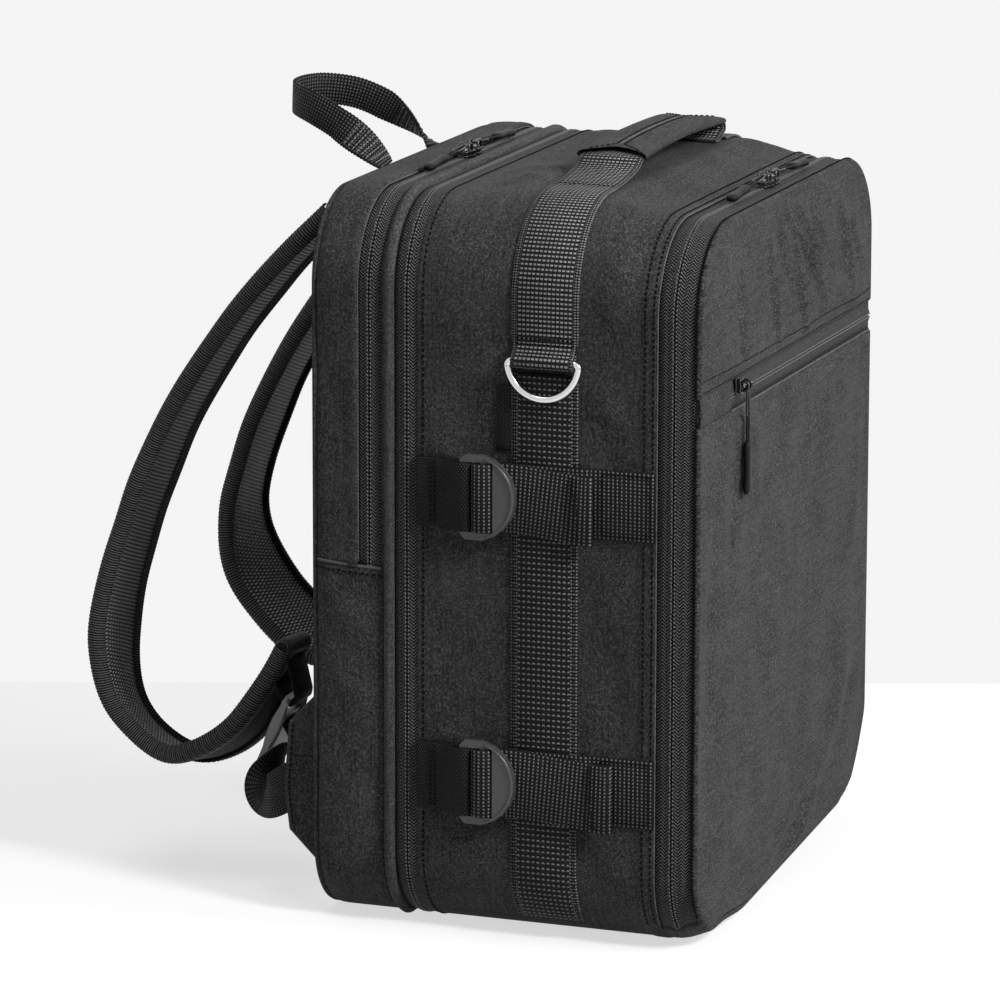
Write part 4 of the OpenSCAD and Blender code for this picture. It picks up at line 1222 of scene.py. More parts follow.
FOLD = 1.5
RELIEF_FADE = 9
PANEL_STEP = 2.0
FRONT_CREASES = [
    ((-16, 402), (70, 326), 3, 3.0), ((10, 399), (54, 350), 2.5, 2.5), ((-46, 390), (-20, 318), 4, 2.6),
    ((0, 384), (28, 312), 3, 2.6), ((30, 398), (62, 356), 5, -2.6), ((84, 394), (112, 326), 5, 2.8),
    ((-92, 384), (-86, 318), 6, -2.0), ((104, 376), (136, 334), 4, -2.4), ((-30, 396), (0, 348), 5, -2.4),
]
POCKET_CREASES = [
    ((26, 290), (34, 246), 3, 2.0), ((-98, 296), (-102, 190), 8, -2.6), ((-70, 292), (-60, 216), 8, 1.8),
    ((74, 54), (116, 128), 10, 2.2), ((40, 20), (96, 84), 9, 2.0), ((92, 40), (134, 112), 9, -1.8),
    ((-34, 14), (40, 46), 4, 1.8), ((-124, 66), (-62, 28), 7, 1.4), ((104, 150), (140, 268), 9, 1.6),
    ((66, 286), (120, 262), 6, 1.6), ((-140, 110), (-128, 250), 7, -1.6),
    ((-4, 4), (44, 36), 3, 2.6), ((18, 5), (58, 38), 3, 2.4), ((6, 3), (52, 36), 3, -1.6),
]


def edge_distance(x, z):
    """Distance in from the outline's edge."""
    x = np.abs(x)
    d = np.minimum(HALF_W - x, np.minimum(HEIGHT - z, z))
    for r, cz, way in ((R_TOP, HEIGHT - R_TOP, 1), (R_LOW, R_LOW, -1)):
        dx, dz = x - (HALF_W - r), way * (z - cz)
        d = np.where((dx > 0) & (dz > 0), r - np.hypot(dx, dz), d)
    return np.maximum(d, 0)


def panel_rows(low, high):
    """Heights of a panel's rows, closer together round the corners."""
    turn = 1 - np.cos(np.linspace(0, math.pi / 2, 20))
    extra = np.concatenate([R_LOW * turn, HEIGHT - R_TOP * turn])
    even = np.linspace(low, high, int((high - low) / PANEL_STEP) + 2)
    return np.unique(np.round(np.append(even, extra[(extra > low + 0.3) & (extra < high - 0.3)]), 2))


def slab(piece, low, high, front, back, relief, inset=0.0, roll=1.6, rolled=()):
    """A panel inside the outline: a worked front face with rolled edges, and a flat back."""
    z = panel_rows(low, high)
    even = np.linspace(-1, 1, 170)
    x = (half_width(z) - inset)[:, None] * (0.45 * np.sin(even * math.pi / 2) + 0.55 * even)
    zz = np.broadcast_to(z[:, None], x.shape)
    d = edge_distance(x, zz) - inset
    if "low" in rolled:
        d = np.minimum(d, zz - low)
    if "high" in rolled:
        d = np.minimum(d, high - zz)
    k = np.clip(1 - d / roll, 0, 1)
    way = math.copysign(1, back - front)
    dip = min(roll, abs(back - front)) * (1 - np.sqrt(1 - k ** 2))
    face = points_of(x, front + way * (dip - relief(x, zz) * ease(d / RELIEF_FADE)), zz)
    piece.closed(settle(face), settle(points_of(x, back, zz)), x, zz)


def top_relief(x, z):
    """The filled upper panel, with deep folds."""
    wave = 0.8 * ripple(x, z, seed=21, wavelength=70) + 0.3 * ripple(x, z, seed=22, wavelength=24)
    return wave + 1.6 * ease(edge_distance(x, z) / 40) + FOLD * creases(x, z, FRONT_CREASES)


def pocket_relief(x, z):
    """The filled pocket panel, with shallower folds."""
    wave = ripple(x, z, seed=31, wavelength=110) + 0.3 * ripple(x, z, seed=32, wavelength=30)
    return wave + 2.0 * ease(edge_distance(x, z) / 60) + creases(x, z, POCKET_CREASES)


def wavy(height, seed, wavelength, base=0.0):
    """Relief of a plain panel that is slightly uneven."""
    return lambda x, z: base + height * ripple(x, z, seed, wavelength)


def front_line(x, z, relief, hem, out):
    """A level line on the front panel, a little way from a panel's hem."""
    zz = np.full_like(x, z)
    d = np.minimum(edge_distance(x, zz), abs(z - hem))
    return settle(points_of(x, FRONT - relief(x, zz) * ease(d / RELIEF_FADE) - out, zz))


def add_front():
    panels = {"front_top": (POCKET_HIGH, HEIGHT, top_relief, ("low",)),
              "front_pocket": (PANEL_LOW, POCKET_LOW, pocket_relief, ("low", "high"))}
    for name, (low, high, relief, rolled) in panels.items():
        piece = Piece()
        slab(piece, low, high, FRONT, PANEL_BACK, relief, rolled=rolled)
        piece.build(name + "_cloth", "flap", "cloth", [CLOTH], [name + "_panel"])
    liner = Piece()
    slab(liner, STRIP_TOP + 0.5, HEIGHT - WALL - 0.4, PANEL_BACK + 2, PANEL_BACK + SKIN_GAP,
         wavy(-0.3, seed=41, wavelength=60, base=-0.3), inset=WALL + 0.4)
    liner.build("front_liner_cloth", "flap", "lining", [LINING], ["front_liner"])
    rows = Piece()
    x = np.linspace(4 - HALF_W, HALF_W - 4, 200)
    for rise in (3, 9.5):
        stitches(rows, front_line(x, POCKET_HIGH + rise, top_relief, POCKET_HIGH, 0), (0, -1, 0), thick=0.7)
    sewn_line(rows, over_top(STRIP_TOP + 4, 2.0), PANEL_BACK - 0.3, 0.15, pitch=1.9, length=1.4)
    rows.build("front_stitches", "flap", "cloth", [THREAD])


COVER_END = -100


def add_pocket_zip():
    """Both halves of the pocket's zip, and the cloth that covers its left end."""
    piece = Piece()
    x = np.linspace(1.2 - HALF_W, HALF_W - 1.2, 120)
    face = [(0.6, 0), (1.6, 0.2), (2.2, 0.9), (2.3, 1.8), (1.9, 3), (1.6, 4)]
    for way, edge in ((-1, POCKET_LOW + 0.2), (1, POCKET_HIGH - 0.2)):
        slit = POCKET_ZIP + way * SLIT
        loop = [(PANEL_BACK - out, slit + way * off) for out, off in face]
        loop += [(PANEL_BACK - TAPE_T, edge), (PANEL_BACK - SKIN_GAP, edge), (PANEL_BACK - SKIN_GAP, slit)]
        loop = np.array(loop)
        points = settle(points_of(x, loop[:, :1], loop[:, 1:]))
        index = piece.grid(points, x[None, :], run_round(loop)[:, None], wrap_rows=True)
        piece.ends(index.T)
        path = settle(points_of(x, PANEL_BACK - 2.25, slit + way * TOOTH_OFF))
        line = np.concatenate([path, np.broadcast_to([0, -1, 0], path.shape)], 1)
        teeth(piece, line, pitch=2.1, length=1.3)
    piece.build("pocket_zip", "flap", "zip_tape", [TAPE, COIL_GLINT], ["pocket_zip_tapes"])
    cover = Piece()
    xs = np.linspace(0.8 - HALF_W, COVER_END, 16)[:, None]
    zs = np.linspace(POCKET_LOW - 0.5, POCKET_HIGH + 0.5, 10)[None, :]
    swell = np.sin(math.pi * np.linspace(0, 1, 10)) ** 0.5 * np.minimum(1, np.linspace(4, 0.4, 16))[:, None]
    face = points_of(xs, PANEL_BACK - 2.0 - 1.1 * swell, zs)
    cover.closed(settle(face), settle(face + [0, 0.7, 0]), xs, zs)
    # The pocket's lower edge gets a thin fold in the lighter cloth, a painted highlight along it.
    fold = np.linspace(COVER_END, HALF_W - 3, 120)
    edge = front_line(fold, POCKET_LOW - 0.5, pocket_relief, POCKET_LOW, -0.5)
    tube(cover, edge, 0.5, finish=1, sides=6)
    cover.build("pocket_zip_end_cloth", "flap", "cloth", [CLOTH, FOLD_HIGHLIGHT])


# Laptop section

GUSSET_CREASES = [
    ((108, 196), (76, 160), 7, 2.2), ((104, 150), (74, 118), 7, 2.0), ((106, 96), (78, 62), 8, 2.0),
    ((106, 330), (92, 262), 8, -1.6),
]


def gusset_relief(y, s):
    """The rear section's filled side, with slanting folds."""
    z, nx = at(s)[1:3]
    calm = ease((y - GUSSET - 2) / 8) * ease((BACK_INNER + 4 - y) / 8) * ease(z / BASE_FADE)
    fill = 1.8 * np.sin(math.pi * np.clip((y - GUSSET - 6) / (BACK_INNER - GUSSET - 4), 0, 1))
    wave = 0.7 * ripple(np.broadcast_to(s, y.shape), y, seed=51, wavelength=60)
    return calm * (fill + wave + creases(y, z, GUSSET_CREASES) * (np.abs(nx) > STEEP))


def gusset_band(piece, s, front, lining_front):
    """Rear gusset from its front edge to the rounded back edge, with its lining."""
    end = BACK_INNER + 0.4
    skin = front + [(y, 0) for y in np.arange(front[-1][0] + 3, end - 5, CLOTH_STEP)]
    skin += [(end - 4, 0.15), (end - 2, 0.7), (end - 0.6, 1.6), (end, 2.4)]
    lining = [(end, WALL), (lining_front + 12, WALL), (lining_front, WALL)]
    finish = [0] * (len(skin) - 1) + [1] * (len(lining) + 1)
    band(piece, s, skin + lining, finish, relief=gusset_relief)


def add_rear_gusset():
    piece = Piece()
    y0, y1, z = GUSSET, LAPTOP_BACK, LAPTOP_END
    gusset_band(piece, under_base(z), [(y0, 2), (y0 + 0.4, 1.2), (y0 + 1.6, 0.5), (y0 + 4, 0)], y0)
    hem = [(0.6, 1.0), (-0.5, 0.7), (-0.7, 0.1), (-0.1, -0.5), (1.2, -0.55), (4, -0.45), (5.5, -0.05)]
    gusset_band(piece, over_top(z - 0.6), [(y1 + off, inset) for off, inset in hem], y1 + 0.6)
    y1 = LAPTOP_FRONT + 0.3
    narrow = [(y0, WALL), (y0, 1.4), (y0 + 0.5, 0.9), (y1 - 0.3, 0.9), (y1, 1.2), (y1, WALL)]
    band(piece, over_top(z - 0.6), narrow)
    piece.build("rear_gusset_cloth", "rear", "cloth", [CLOTH, LINING], ["rear_gusset"])
    rows, seam = Piece(), Piece()
    for off in (2.4, 7.0):
        sewn_line(rows, over_top(z + 4, 2.0), LAPTOP_BACK + off, 0.5)
    # Folded edge behind the laptop zip in the lighter cloth, a painted highlight along it.
    fold_line(rows, over_top(z + 2, 2.0), LAPTOP_BACK - 0.5, 0.25)
    y = np.linspace(GUSSET + 1, BACK_INNER - 0.5, 20)
    for side in SIDES.values():
        path = points_of(side * HALF_W, y, z - 1.5 + 0.075 * (y - y[0]))
        path[:, 0] += side * (0.1 + gusset_relief(y[:, None], np.array([side * run_at(z)]))[:, 0])
        # Seam strip in the lighter cloth, a painted highlight along the seam.
        strip(seam, path, (0, 0, 1), 1.5, 0.9)
        stitches(rows, path + [side * 0.3, 0, -4], (side, 0, 0))
    seam.build("rear_gusset_seam", "rear", "cloth", [FOLD_HIGHLIGHT])
    rows.build("rear_gusset_stitches", "rear", "cloth", [THREAD, FOLD_HIGHLIGHT])


def add_welt(name, y, inset, radius, sides, finish, replaces=()):
    """A corded seam all round the bag, kept above the floor."""
    x, z, nx, nz = at(ALL_ROUND)
    path = points_of(x - inset * nx, y, np.maximum(z - inset * nz, radius + 0.1))
    piece = Piece()
    tube(piece, settle(path), radius, closed=True, sides=sides, reference=(0, 1, 0))
    piece.build(name, "rear", "cloth", [finish], replaces)


def add_back():
    panel = Piece()
    slab(panel, 0.6, HEIGHT - 0.6, BACK, BACK_INNER, wavy(0.25, seed=61, wavelength=50), inset=2.0,
         roll=2.5, rolled=("low", "high"))
    panel.build("back_panel_cloth", "rear", "cloth", [CLOTH], ["back_panel"])
    add_welt("back_seam", BACK - 1.4, 2.2, 1.5, 8, CLOTH)


PAD_GAP, PAD_CORNER, PAD_RISE, PAD_ROUND = 12, 14, 4.4, 9


def add_back_pads():
    """Two foam pads under mesh, each with three channels across."""
    low, high = span("back_pads")
    inner, radius = PAD_GAP, PAD_CORNER
    half_x, half_z = (high[0] - inner) / 2 - 0.6, (high[2] - low[2]) / 2 - 0.6
    px, pz = np.meshgrid(np.linspace(-half_x, half_x, 34), np.linspace(-half_z, half_z, 88))
    dx, dz = np.abs(px) - (half_x - radius), np.abs(pz) - (half_z - radius)
    corner = (dx > 0) & (dz > 0)
    fit = np.where(corner, radius / np.maximum(np.hypot(dx, dz), radius), 1)
    px = np.where(corner, np.sign(px) * (half_x - radius + dx * fit), px)
    pz = np.where(corner, np.sign(pz) * (half_z - radius + dz * fit), pz)
    straight = np.minimum(half_x - np.abs(px), half_z - np.abs(pz))
    d = np.where(corner, radius - np.hypot(dx, dz) * fit, straight)
    channel = sum(np.exp(-((pz - k * half_z * 0.5) / 3.5) ** 2) for k in (-1, 0, 1))
    rise = PAD_RISE * np.sqrt(1 - (1 - np.clip(d / PAD_ROUND, 0, 1)) ** 2)
    rise = rise * (1 - 0.75 * channel * ease(d / 8))
    held = np.concatenate([(channel > 0.75) | (d < 2), np.ones_like(corner)], 1)
    for name, side in SIDES.items():
        x = side * (inner + high[0]) / 2 + px
        z = (low[2] + high[2]) / 2 + pz
        piece = Piece()
        piece.closed(points_of(x, BACK + 0.5 + rise, z), points_of(x, BACK + SKIN_GAP, z), px, pz)
        thing = piece.build(f"{name}_back_pad", "rear", "mesh", [MESH], ["back_pads"] if side < 0 else [])
        inflate(thing, held.ravel(), pressure=3.0, reach=1.4)


def add_yoke():
    low, high = span("strap_yoke")
    x = np.linspace(low[0] + 0.5, high[0] - 0.5, 70)[:, None]
    z = np.linspace(low[2] + 0.5, high[2] - 0.5, 12)[None, :]
    d = np.minimum(np.minimum(x - low[0], high[0] - x), np.minimum(z - low[2], high[2] - z))
    rise = 0.5 + 1.4 * np.sqrt(1 - (1 - np.clip(d / 3, 0, 1)) ** 2)
    piece = Piece()
    piece.closed(points_of(x, BACK + rise, z), points_of(x, BACK + SKIN_GAP, z), x, z)
    for edge in (low[2] + 3, high[2] - 3):
        row = [(low[0] + 3, BACK + 1.9, edge), (high[0] - 3, BACK + 1.9, edge)]
        stitches(piece, row, (0, 1, 0), finish=1)
    piece.build("strap_yoke_cloth", "rear", "cloth", [CLOTH, THREAD], ["strap_yoke"])


# Haul loop

LOOP_HALF, LOOP_REACH, LOOP_RISE = 36, 67, 32
LOOP_W, LOOP_T = 18, 1.8
LOOP_FOOT = BACK + 1.5
LOOP_TURN_POINTS = 24


def haul_path():
    """The loop's middle line with its direction across: flat at its sewn ends, then on edge."""
    quarter = [(1, 0), (1.03, 0.2), (1, 0.44), (0.88, 0.68), (0.6, 0.89), (0.25, 0.99)]
    shape = [(-k, s) for k, s in quarter] + quarter[::-1]
    path = smooth([(k * LOOP_HALF, LOOP_FOOT + s * LOOP_REACH, HEIGHT - 2 + LOOP_RISE * (1 - (1 - s) ** 2))
                   for k, s in shape], 12)
    n = len(path) - 1
    k = np.arange(n + 1)
    start, end = [90 * np.minimum(1, count / LOOP_TURN_POINTS) for count in (k, n - k)]
    turn = np.radians(np.where(k < n / 2, start, 180 - end))[:, None]
    far = np.clip((path[:, 1] - LOOP_FOOT) / LOOP_REACH, 0, 1)
    lean = np.arctan(2 * LOOP_RISE / LOOP_REACH * (1 - far))
    upward = points_of(0, -np.sin(lean), np.cos(lean))
    return np.concatenate([path, np.cos(turn) * [1.0, 0, 0] + np.sin(turn) * upward], 1)


def add_haul_loop():
    line = resample(haul_path(), 1.05)
    path, across = line[:, :3], unit(line[:, 3:])
    scallop = LOOP_W + 0.5 * np.cos(np.arange(len(path)) * math.pi)
    piece = Piece()
    strip(piece, path, across, scallop, LOOP_T)
    piece.build("haul_loop_webbing", "loop", "webbing", [WEB_DOTS], ["haul_loop"])
    bars = Piece()
    outward = np.cross(across, heading(path))
    for k in list(range(4, 26, 3)) + list(range(len(path) - 26, len(path) - 4, 3)):
        wide = across[k] * (LOOP_W / 2 - 1.5)
        for face in (-1, 1):
            row = np.array([path[k] - wide, path[k] + wide]) + face * outward[k] * LOOP_T * 0.56
            stitches(bars, row, face * outward[k], pitch=2.5, thick=0.9)
    bars.build("haul_loop_stitches", "loop", "webbing", [BRIGHT_THREAD])


# Shoulder straps. A route is the strap's middle line from its pivot, in Y and Z, and both start alike.

STRAP_PIVOT = np.array([BACK + 7.3, HEIGHT - 15])
STRAP_X = 82
PAD_W = 56
PAD_T = 10
UPPER_ROUTE = [(0, 0), (18, -19), (45, -48), (77, -90), (108, -143)]
LOWER_ROUTES = {
    "left": [(133, -209), (143, -257), (137, -297), (113, -321), (89, -323), (59, -302), (33, -255)],
    "right": [(127, -193), (132, -223), (125, -251), (105, -277), (79, -295), (53, -289), (33, -259)],
}
STRAP_TWIST = math.radians(13)


def strap_frame(name):
    """A strap's middle line, its directions across and towards the wearer, and its half-width."""
    side = SIDES[name]
    y, z = (STRAP_PIVOT + (UPPER_ROUTE + LOWER_ROUTES[name])).T
    path = resample(smooth(points_of(side * STRAP_X, y, z), 12), 1.15)
    across = np.broadcast_to([1.0, 0, 0], path.shape)
    inner = np.cross(heading(path), across)
    t = np.linspace(0, 1, len(path))
    twist = (-side * STRAP_TWIST * ease((t - 0.6) / 0.14) * (1 - 0.6 * ease((t - 0.9) / 0.1)))[:, None]
    half = PAD_W / 2 * (1 - 0.08 * ease((t - 0.5) / 0.3) - 0.42 * ease((t - 0.8) / 0.2))
    half = half * (1 - 0.3 * ease(1 - t / 0.07)) + 0.8 * ripple(run_of(path), 0, seed=81, wavelength=45)
    c, s = np.cos(twist), np.sin(twist)
    return path, across * c - inner * s, inner * c + across * s, half


def add_strap(name):
    path, across, inner, half = strap_frame(name)
    rows, wide, high = path[::3], across[::3], inner[::3]
    columns = np.linspace(-1, 1, 15)
    count = np.arange(len(rows))
    ends = np.minimum(1, np.minimum(count, count[::-1]) / 3 + 0.45)
    rise = (PAD_T / 2 - 1.6) * ends[:, None] * (0.55 * (1 - columns ** 4) + 0.45)
    flat = rows[:, None] + wide[:, None] * ((half[::3] - 1.5)[:, None] * columns)[..., None]
    swell = high[:, None] * rise[..., None]
    pad = Piece()
    v = columns[None, :] * PAD_W / 2
    pad.closed(flat + swell, flat - swell, run_of(rows)[:, None], v, back_finish=1)
    strap = f"{name}_strap"
    thing = pad.build(f"{strap}_padding", strap, "mesh", [MESH, CLOTH], [f"{strap}_pad"])
    turn = len(columns)
    held = np.zeros((len(rows), 2 * turn), bool)
    held[:, [0, turn - 1, turn, -1]] = True
    held[:2] = held[-2:] = True
    inflate(thing, held.ravel(), pressure=4.0, reach=1.8)


BINDING_INNER = {"near": 3.0, "far": 0.8}
BINDING_OUTER = 7.5


def add_strap_binding(name):
    """Ribbed tape folded round both edges of a strap and over its lower end."""
    path, across, inner, half = [part[4:] for part in strap_frame(name)]
    rib = 0.16 * np.cos(np.arange(len(path)) * math.pi)[:, None]
    t = PAD_T / 2 + 0.35
    piece = Piece()
    for side in SIDES.values():
        cover = BINDING_INNER["near" if side == SIDES[name] else "far"]
        loop = np.array([(-cover, t - 0.1), (-1.5, t), (0.2, t - 0.9), (1.7, t * 0.45), (2.1, 0),
                         (1.7, -t * 0.45), (0.2, 0.9 - t), (-3, -t), (-BINDING_OUTER, 0.1 - t),
                         (-BINDING_OUTER, 0.9 - t), (-2.5, 1.0 - t), (0.9, 0), (-1.5, t - 1.0),
                         (-cover, t - 0.9)])
        ribbed = np.array([0.4, 1, 1, 1, 1, 1, 1, 1, 0.4] + [0] * 5)
        out = unit(loop + [2.0, 0])
        a, h = [loop[None, :, k] + rib * ribbed * out[None, :, k] for k in (0, 1)]
        wide = (side * (half[:, None] + a))[..., None]
        points = path[:, None] + across[:, None] * wide + inner[:, None] * h[..., None]
        piece.rod(points, run_of(path)[:, None], run_round(loop)[None, :])
    reach = np.linspace(-1, 1, 40)
    lower = path[-1] + across[-1] * (reach * (half[-1] + 1.2))[:, None]
    tube(piece, lower, (PAD_T / 2 + 0.5) * (1 - 0.35 * reach ** 8), sides=14)
    piece.build(f"{name}_strap_edge", f"{name}_strap", "webbing", [BINDING], [f"{name}_strap_binding"])


LOCK = STRAP_PIVOT + [31, -284]
LOCK_LEAN = math.radians(24)
LOCK_DOWN = np.array([0, math.sin(LOCK_LEAN), -math.cos(LOCK_LEAN)])
LOCK_THROUGH = np.array([0, math.cos(LOCK_LEAN), math.sin(LOCK_LEAN)])
LOCK_SLOT = 15.46
ADJUSTER_W = 25
ADJUSTER_SPLIT, ADJUSTER_BEND = 121, 109


def add_buckle_loop(name):
    """Webbing loop that holds the strap's buckle, sewn into the strap's lower end."""
    legs = [[(11, 15), (7.5, 7), (4.2, -1)], [(-4.2, 1), (-2, 10), (0.5, 20), (3, 31)]]
    first, last = [smooth(LOCK + leg, 6) for leg in legs]
    y, z = np.concatenate([first[:-1], arc(LOCK, EYE, -12, -168, 18), last[1:]]).T
    path = points_of(SIDES[name] * STRAP_X, y, z)
    piece = Piece()
    strip(piece, resample(path, 1.2), (1, 0, 0), ADJUSTER_W, WEB_T)
    loop = f"{name}_buckle_loop"
    piece.build(loop + "_webbing", f"{name}_strap", "webbing", [WEB_PLAIN], [loop])


def add_lock_rails(name):
    """Lens-shaped side rails of a strap's buckle, thick in the middle and thin at the lever."""
    low, high = between(f"{name}_strap_buckle", X)
    u = np.linspace(-1.5, 50, 40)
    thick = np.maximum(3.8 * np.sin(math.pi * np.clip((u + 2.5) / 40, 0, 1)) ** 0.8, 1.3 - 0.3 * (u > 48))
    ring = np.linspace(0, 2 * math.pi, 12, endpoint=False)
    wide, deep = bulged(ring, 0.5, 0.8)
    rail = 2.0
    piece = Piece()
    for x in (low + rail, high - rail):
        line = np.array([x, LOCK[0], LOCK[1]]) + LOCK_DOWN * u[:, None]
        points = (line[:, None] + np.array([1.0, 0, 0]) * (rail * wide)[None, :, None]
                  + LOCK_THROUGH * (thick[:, None] * deep)[..., None])
        piece.rod(points, u[:, None], np.append(ring, 2 * math.pi)[None, :] * rail)
    piece.build(f"{name}_strap_buckle_rails", f"{name}_lock", "plastic", [GREY_PLASTIC])


def adjuster_route(side):
    """Route of the adjusting webbing from the cloth wing to the buckle."""
    start = HALF_W - 10 - 3 - FLAT - 0.6
    low = between("strap_tabs", Z)[0]
    slot = np.array([STRAP_X, LOCK[0], LOCK[1]]) + LOCK_DOWN * LOCK_SLOT
    route = [(start, BACK + 10, low + 48), (start, BACK + 19, low + 42), (start - 4, BACK + 32, low + 34),
             (start - 18, BACK + 42, low + 31), (106, BACK + 46, low + 35), (90, BACK + 43, low + 46),
             slot - LOCK_THROUGH * 8 + [0, 0, -9], slot - LOCK_THROUGH * 4 + [0, 0, -1], slot,
             slot + LOCK_THROUGH * 5]
    path = smooth(route, 10)
    edge = unit(np.cross(heading(path), [-1.0, 0, 0]))
    turn = np.radians(90 * np.clip(1.25 - 2.2 * np.linspace(0, 1, len(path)), 0, 1))[:, None]
    across = np.cos(turn) * np.array([-1.0, 0, 0]) + np.sin(turn) * edge
    return np.concatenate([path * [side, 1, 1], across * [side, 1, 1]], 1)


def add_adjusters():
    """Adjusting webbing, in a lower length that reaches the strap and an upper end at the buckle."""
    for name, side in SIDES.items():
        line = resample(adjuster_route(side), 1.6)
        split = int(np.argmin(np.abs(line[:, 0] * side - ADJUSTER_SPLIT)))
        edge = np.abs(between(f"{name}_strap_buckle", X)).max()
        strap, lock = f"{name}_strap", f"{name}_lock"
        lengths = [("webbing", line[:split + 1], "rear", strap, (0, BACK + 12, 0), (0, BACK + 38, 0)),
                   ("end", line[split:], strap, lock, (side * ADJUSTER_BEND, 0, 0),
                    (side * (edge - 4), 0, 0))]
        for label, part, first, last, start, end in lengths:
            piece = Piece()
            strip(piece, part[:, :3], part[:, 3:], ADJUSTER_W, WEB_T)
            node = f"{name}_adjuster"
            thing = piece.build(f"{node}_{label}", None, "webbing", [WEB_FINE], [node])
            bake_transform(thing)


def add_wings():
    low, high = span("strap_tabs")
    z = np.linspace(low[2] + 0.5, high[2] - 0.5, 40)
    bend = [low[2], low[2] + 18, low[2] + 42, high[2] - 19, high[2]]
    reach = np.interp(z, bend, [0.6, 19, 22, 19, 0.6])
    t = np.linspace(0, 1, 9)
    y = BACK - 0.5 + reach[:, None] * t
    d = np.minimum(reach[:, None] * (1 - t), 3) / 3
    thick = 0.5 + 0.95 * np.sqrt(1 - (1 - d) ** 2)
    zz = np.broadcast_to(z[:, None], y.shape)
    piece = Piece()
    for side in SIDES.values():
        x = side * (high[0] - 1.5)
        piece.closed(points_of(x + thick, y, zz), points_of(x - thick, y, zz), y, zz)
        for face in (-1, 1):
            row = points_of(x + face * 1.5, BACK + np.clip(reach - 3.5, 0, None), z)[8:-8]
            stitches(piece, row, (face, 0, 0), finish=1)
    piece.build("strap_wings_cloth", "rear", "cloth", [CLOTH, THREAD], ["strap_tabs"])


# Inside of the bag

def add_divider():
    front, back = between("divider", Y)
    piece = Piece()
    slab(piece, 3, HEIGHT - 3, front, back, wavy(0.2, seed=71, wavelength=60), inset=2.6)
    piece.build("divider_cloth", "rear", "lining", [LINING], ["divider"])


def add_base_board():
    """Stiffener on the floor of the bag, bent along with the base that it lies on."""
    low, high = span("base_board")
    x, y = [np.linspace(low[k], high[k], 60) for k in (X, Y)]
    x, y = np.meshgrid(x, y, indexing="ij")
    top, base = [settle(points_of(x, y, z)) for z in (high[2], low[2] + 0.3)]
    piece = Piece()
    piece.closed(top, base, x, y)
    piece.build("base_board_lining", "bag", "lining", [LINING], ["base_board"])


def add_laptop_sleeve():
    low, high = span("laptop_sleeve")
    foam = 3
    left, right, front, back = low[0], high[0], low[1], high[1]
    loop = np.array([(left, back), (left, front + 2), (left + 2, front), (right - 2, front),
                     (right, front + 2), (right, back), (right - foam, back),
                     (right - foam, front + foam), (left + foam, front + foam), (left + foam, back)])
    z = np.linspace(low[2], high[2], 40)[:, None]
    piece = Piece()
    piece.rod(points_of(loop[:, 0], loop[:, 1], z), run_round(loop)[None, :], z)
    floor = [(left + foam, front + foam), (right - foam, front + foam), (right - foam, back - 0.1),
             (left + foam, back - 0.1)]
    pebble(piece, floor, low[2], low[2] + foam, 0.4, lambda p: p)
    piece.build("laptop_sleeve_cloth", "rear", "lining", [LINING], ["laptop_sleeve"])


def add_expansion_gusset():
    """Folded cloth behind the expansion zip."""
    y0, y1 = between("expansion_gusset", Y)
    t = np.linspace(0, 1, 9)
    outer = [(y0 + (y1 - y0) * k, 2.6 + 9 * (1 - abs(2 * k - 1))) for k in t]
    inner = [(y, depth + 0.6) for y, depth in outer[::-1]]
    piece = Piece()
    band(piece, ALL_ROUND, outer + inner, closed=True)
    thing = piece.build("expansion_gusset_cloth", None, "lining", [LINING], ["expansion_gusset"])
    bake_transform(thing)


# Zip sliders and pulls, drawn on a tape that lies flat with the pull along -X

SLIDER_GAP = 0.5
SLIDER_TOP = SLIDER_GAP + 4
BAIL_Z = SLIDER_TOP + 2.6
PULL_L = 60
GRIP_L = 29
DROOP = math.asin((BAIL_Z - 3.5) / PULL_L)


def mirrored(points):
    """An outline's upper half, given from end to end, with its mirror image."""
    return points + [(x, -y) for x, y in points[::-1] if y]


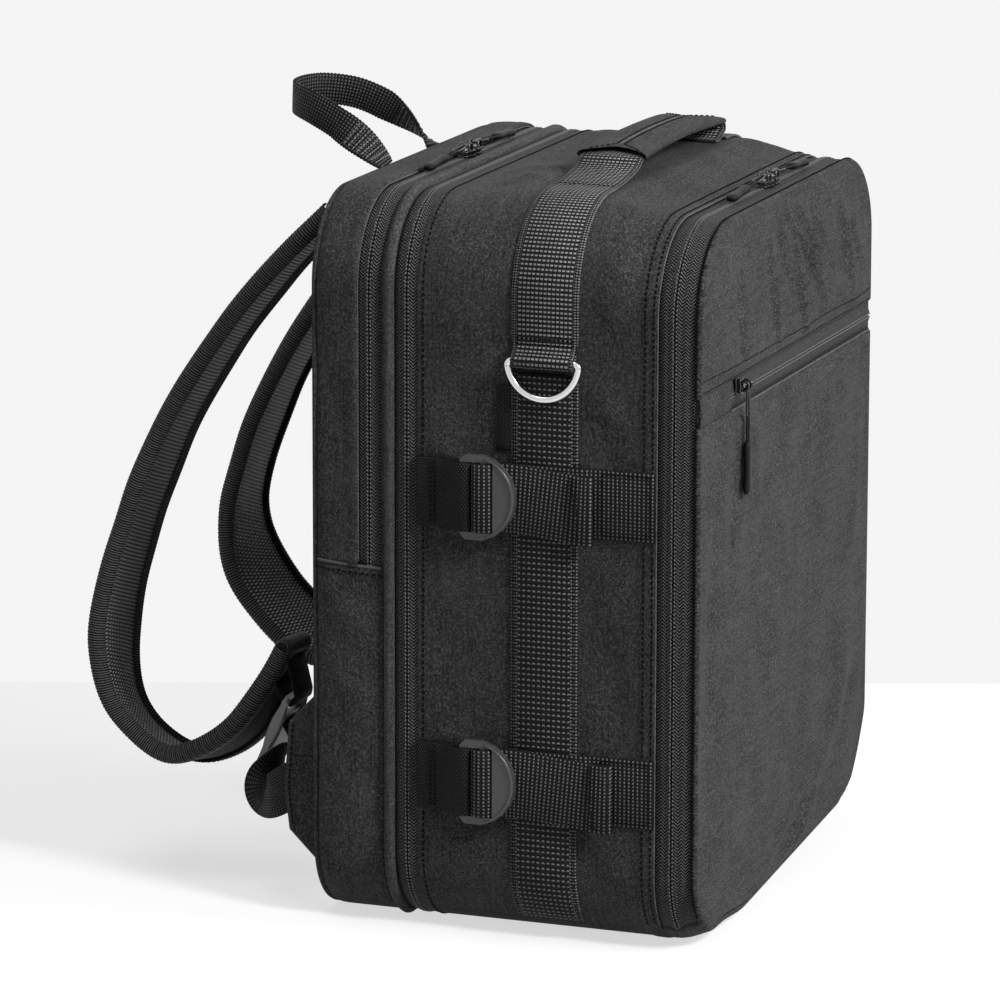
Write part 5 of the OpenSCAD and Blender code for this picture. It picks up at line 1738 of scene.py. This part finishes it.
def add_slider(name, origin, turn, spin, droop):
    """One slider on its runner body and its pull on its tag body."""
    def on_tape(p):
        return np.asarray(p) @ turn.T + np.array(origin, float)

    body = Piece()
    c, s = math.cos(spin), math.sin(spin)
    shape = rounded_loop(mirrored([(-6, 0), (-5.5, 2.6), (-1.5, 3.6), (3.2, 4.5), (5.4, 3.4), (4.4, 0)]), 5)
    shape = shape @ np.array([[c, s], [-s, c]])
    for size, low, high, bevel in ((1, 0, 1.5, 0.45), (0.9, 1.3, 2.7, 0.2), (1, 2.5, 4, 0.6)):
        pebble(body, shape * size, SLIDER_GAP + low, SLIDER_GAP + high, bevel, on_tape)
    foot = SLIDER_TOP - 0.4
    for y in (-2.6, 2.6):
        arch = [(-2.6, y, foot), (-1.9, y, BAIL_Z + 0.4), (0, y, BAIL_Z + 1.1), (1.9, y, BAIL_Z + 0.2),
                (2.8, y, foot)]
        tube(body, on_tape(smooth(arch, 5)), 0.75, sides=8, reference=turn[:, 1])
    pin = [(0, y, BAIL_Z) for y in np.linspace(-2.9, 2.9, 6)]
    tube(body, on_tape(pin), 0.9, sides=10, reference=turn[:, 0])
    body.build(f"{name}_slider_body", f"{name}_runner", "gunmetal", [GUNMETAL], [f"{name}_slider"])

    c, s = math.cos(droop), math.sin(droop)
    tilt = np.array([[c, 0, -s], [0, 1, 0], [s, 0, c]])

    def on_pull(p):
        return on_tape(np.asarray(p) @ tilt.T + [0, 0, BAIL_Z])

    pull = Piece()
    link = [(-17, 0), (-15, 2.1), (-8, 1.7), (-3, 1.2), (0.6, 1.35), (1.7, 0)]
    knot = [(-35, 0), (-33, 1.1), (-22, 1.0), (-16, 1.2), (-14.4, 0)]
    for outline, radius, finish in ((link, 0.62, 0), (knot, 0.75, 1)):
        x, y = rounded_loop(mirrored(outline)).T
        path = on_pull(points_of(x, y, 0))
        tube(pull, path, radius, finish, closed=True, sides=10, reference=(turn @ tilt)[:, 2])
    t = np.linspace(0, 1, 26)[:, None]
    wide = np.interp(t, [0, 0.06, 0.16, 0.5, 0.84, 0.95, 1], [2.2, 3.0, 3.3, 2.5, 3.3, 2.8, 1.8])
    high = np.interp(t, [0, 0.08, 0.5, 0.92, 1], [1.3, 2.1, 1.8, 2.1, 1.3])
    angle = np.linspace(0, 2 * math.pi, 16, endpoint=False)
    across, up = bulged(angle, 0.7, 0.8)
    points = points_of(GRIP_L * t - PULL_L, wide * across, high * up)
    pull.rod(on_pull(points), GRIP_L * t, np.linspace(0, 20, 17)[None, :], 2)
    finishes = [GUNMETAL, WEB_PLAIN, RUBBER]
    pull.build(f"{name}_pull_tag", f"{name}_tag", "gunmetal", finishes, [f"{name}_pull"])


def add_sliders():
    flat = np.eye(3)
    turned = np.diag([-1.0, -1.0, 1.0])
    upright = np.array([[0, -1, 0], [0, 0, -1], [1.0, 0, 0]])
    tops = {"main": (5, SPLIT, FRONT_TOP - TAPE_INSET), "laptop": (2, LAPTOP_ZIP, HEIGHT - TAPE_INSET)}
    for zip_name, (x, y, z) in tops.items():
        add_slider(f"{zip_name}_left", (x - 7, y, z), flat, 0, DROOP)
        add_slider(f"{zip_name}_right", (x + 7, y, z), turned, 0, DROOP)
    add_slider("pocket", (-90, PANEL_BACK - TAPE_T, POCKET_ZIP), upright, math.pi / 2, 0)


add_camera()
add_floor()
add_lights()
scene.view_settings.view_transform = "Standard"
add_shell()
add_zips()
add_hinge_strip()
add_side_webbing()
add_ring_webbing()
add_rings()
add_label()
add_straps()
add_buckles()
add_handle()
add_handle_webbing()
add_front()
add_pocket_zip()
add_rear_gusset()
# The corded piping in its lighter cloth, which paints its highlight.
add_welt("piping_cloth", PIPING_Y, 0.5, 3, 14, PIPING_HIGHLIGHT, ["piping"])
add_back()
add_back_pads()
add_yoke()
add_haul_loop()
for strap_name in SIDES:
    add_strap(strap_name)
    add_strap_binding(strap_name)
    add_buckle_loop(strap_name)
    add_lock_rails(strap_name)
add_adjusters()
add_wings()
add_divider()
add_base_board()
add_laptop_sleeve()
add_expansion_gusset()
add_sliders()
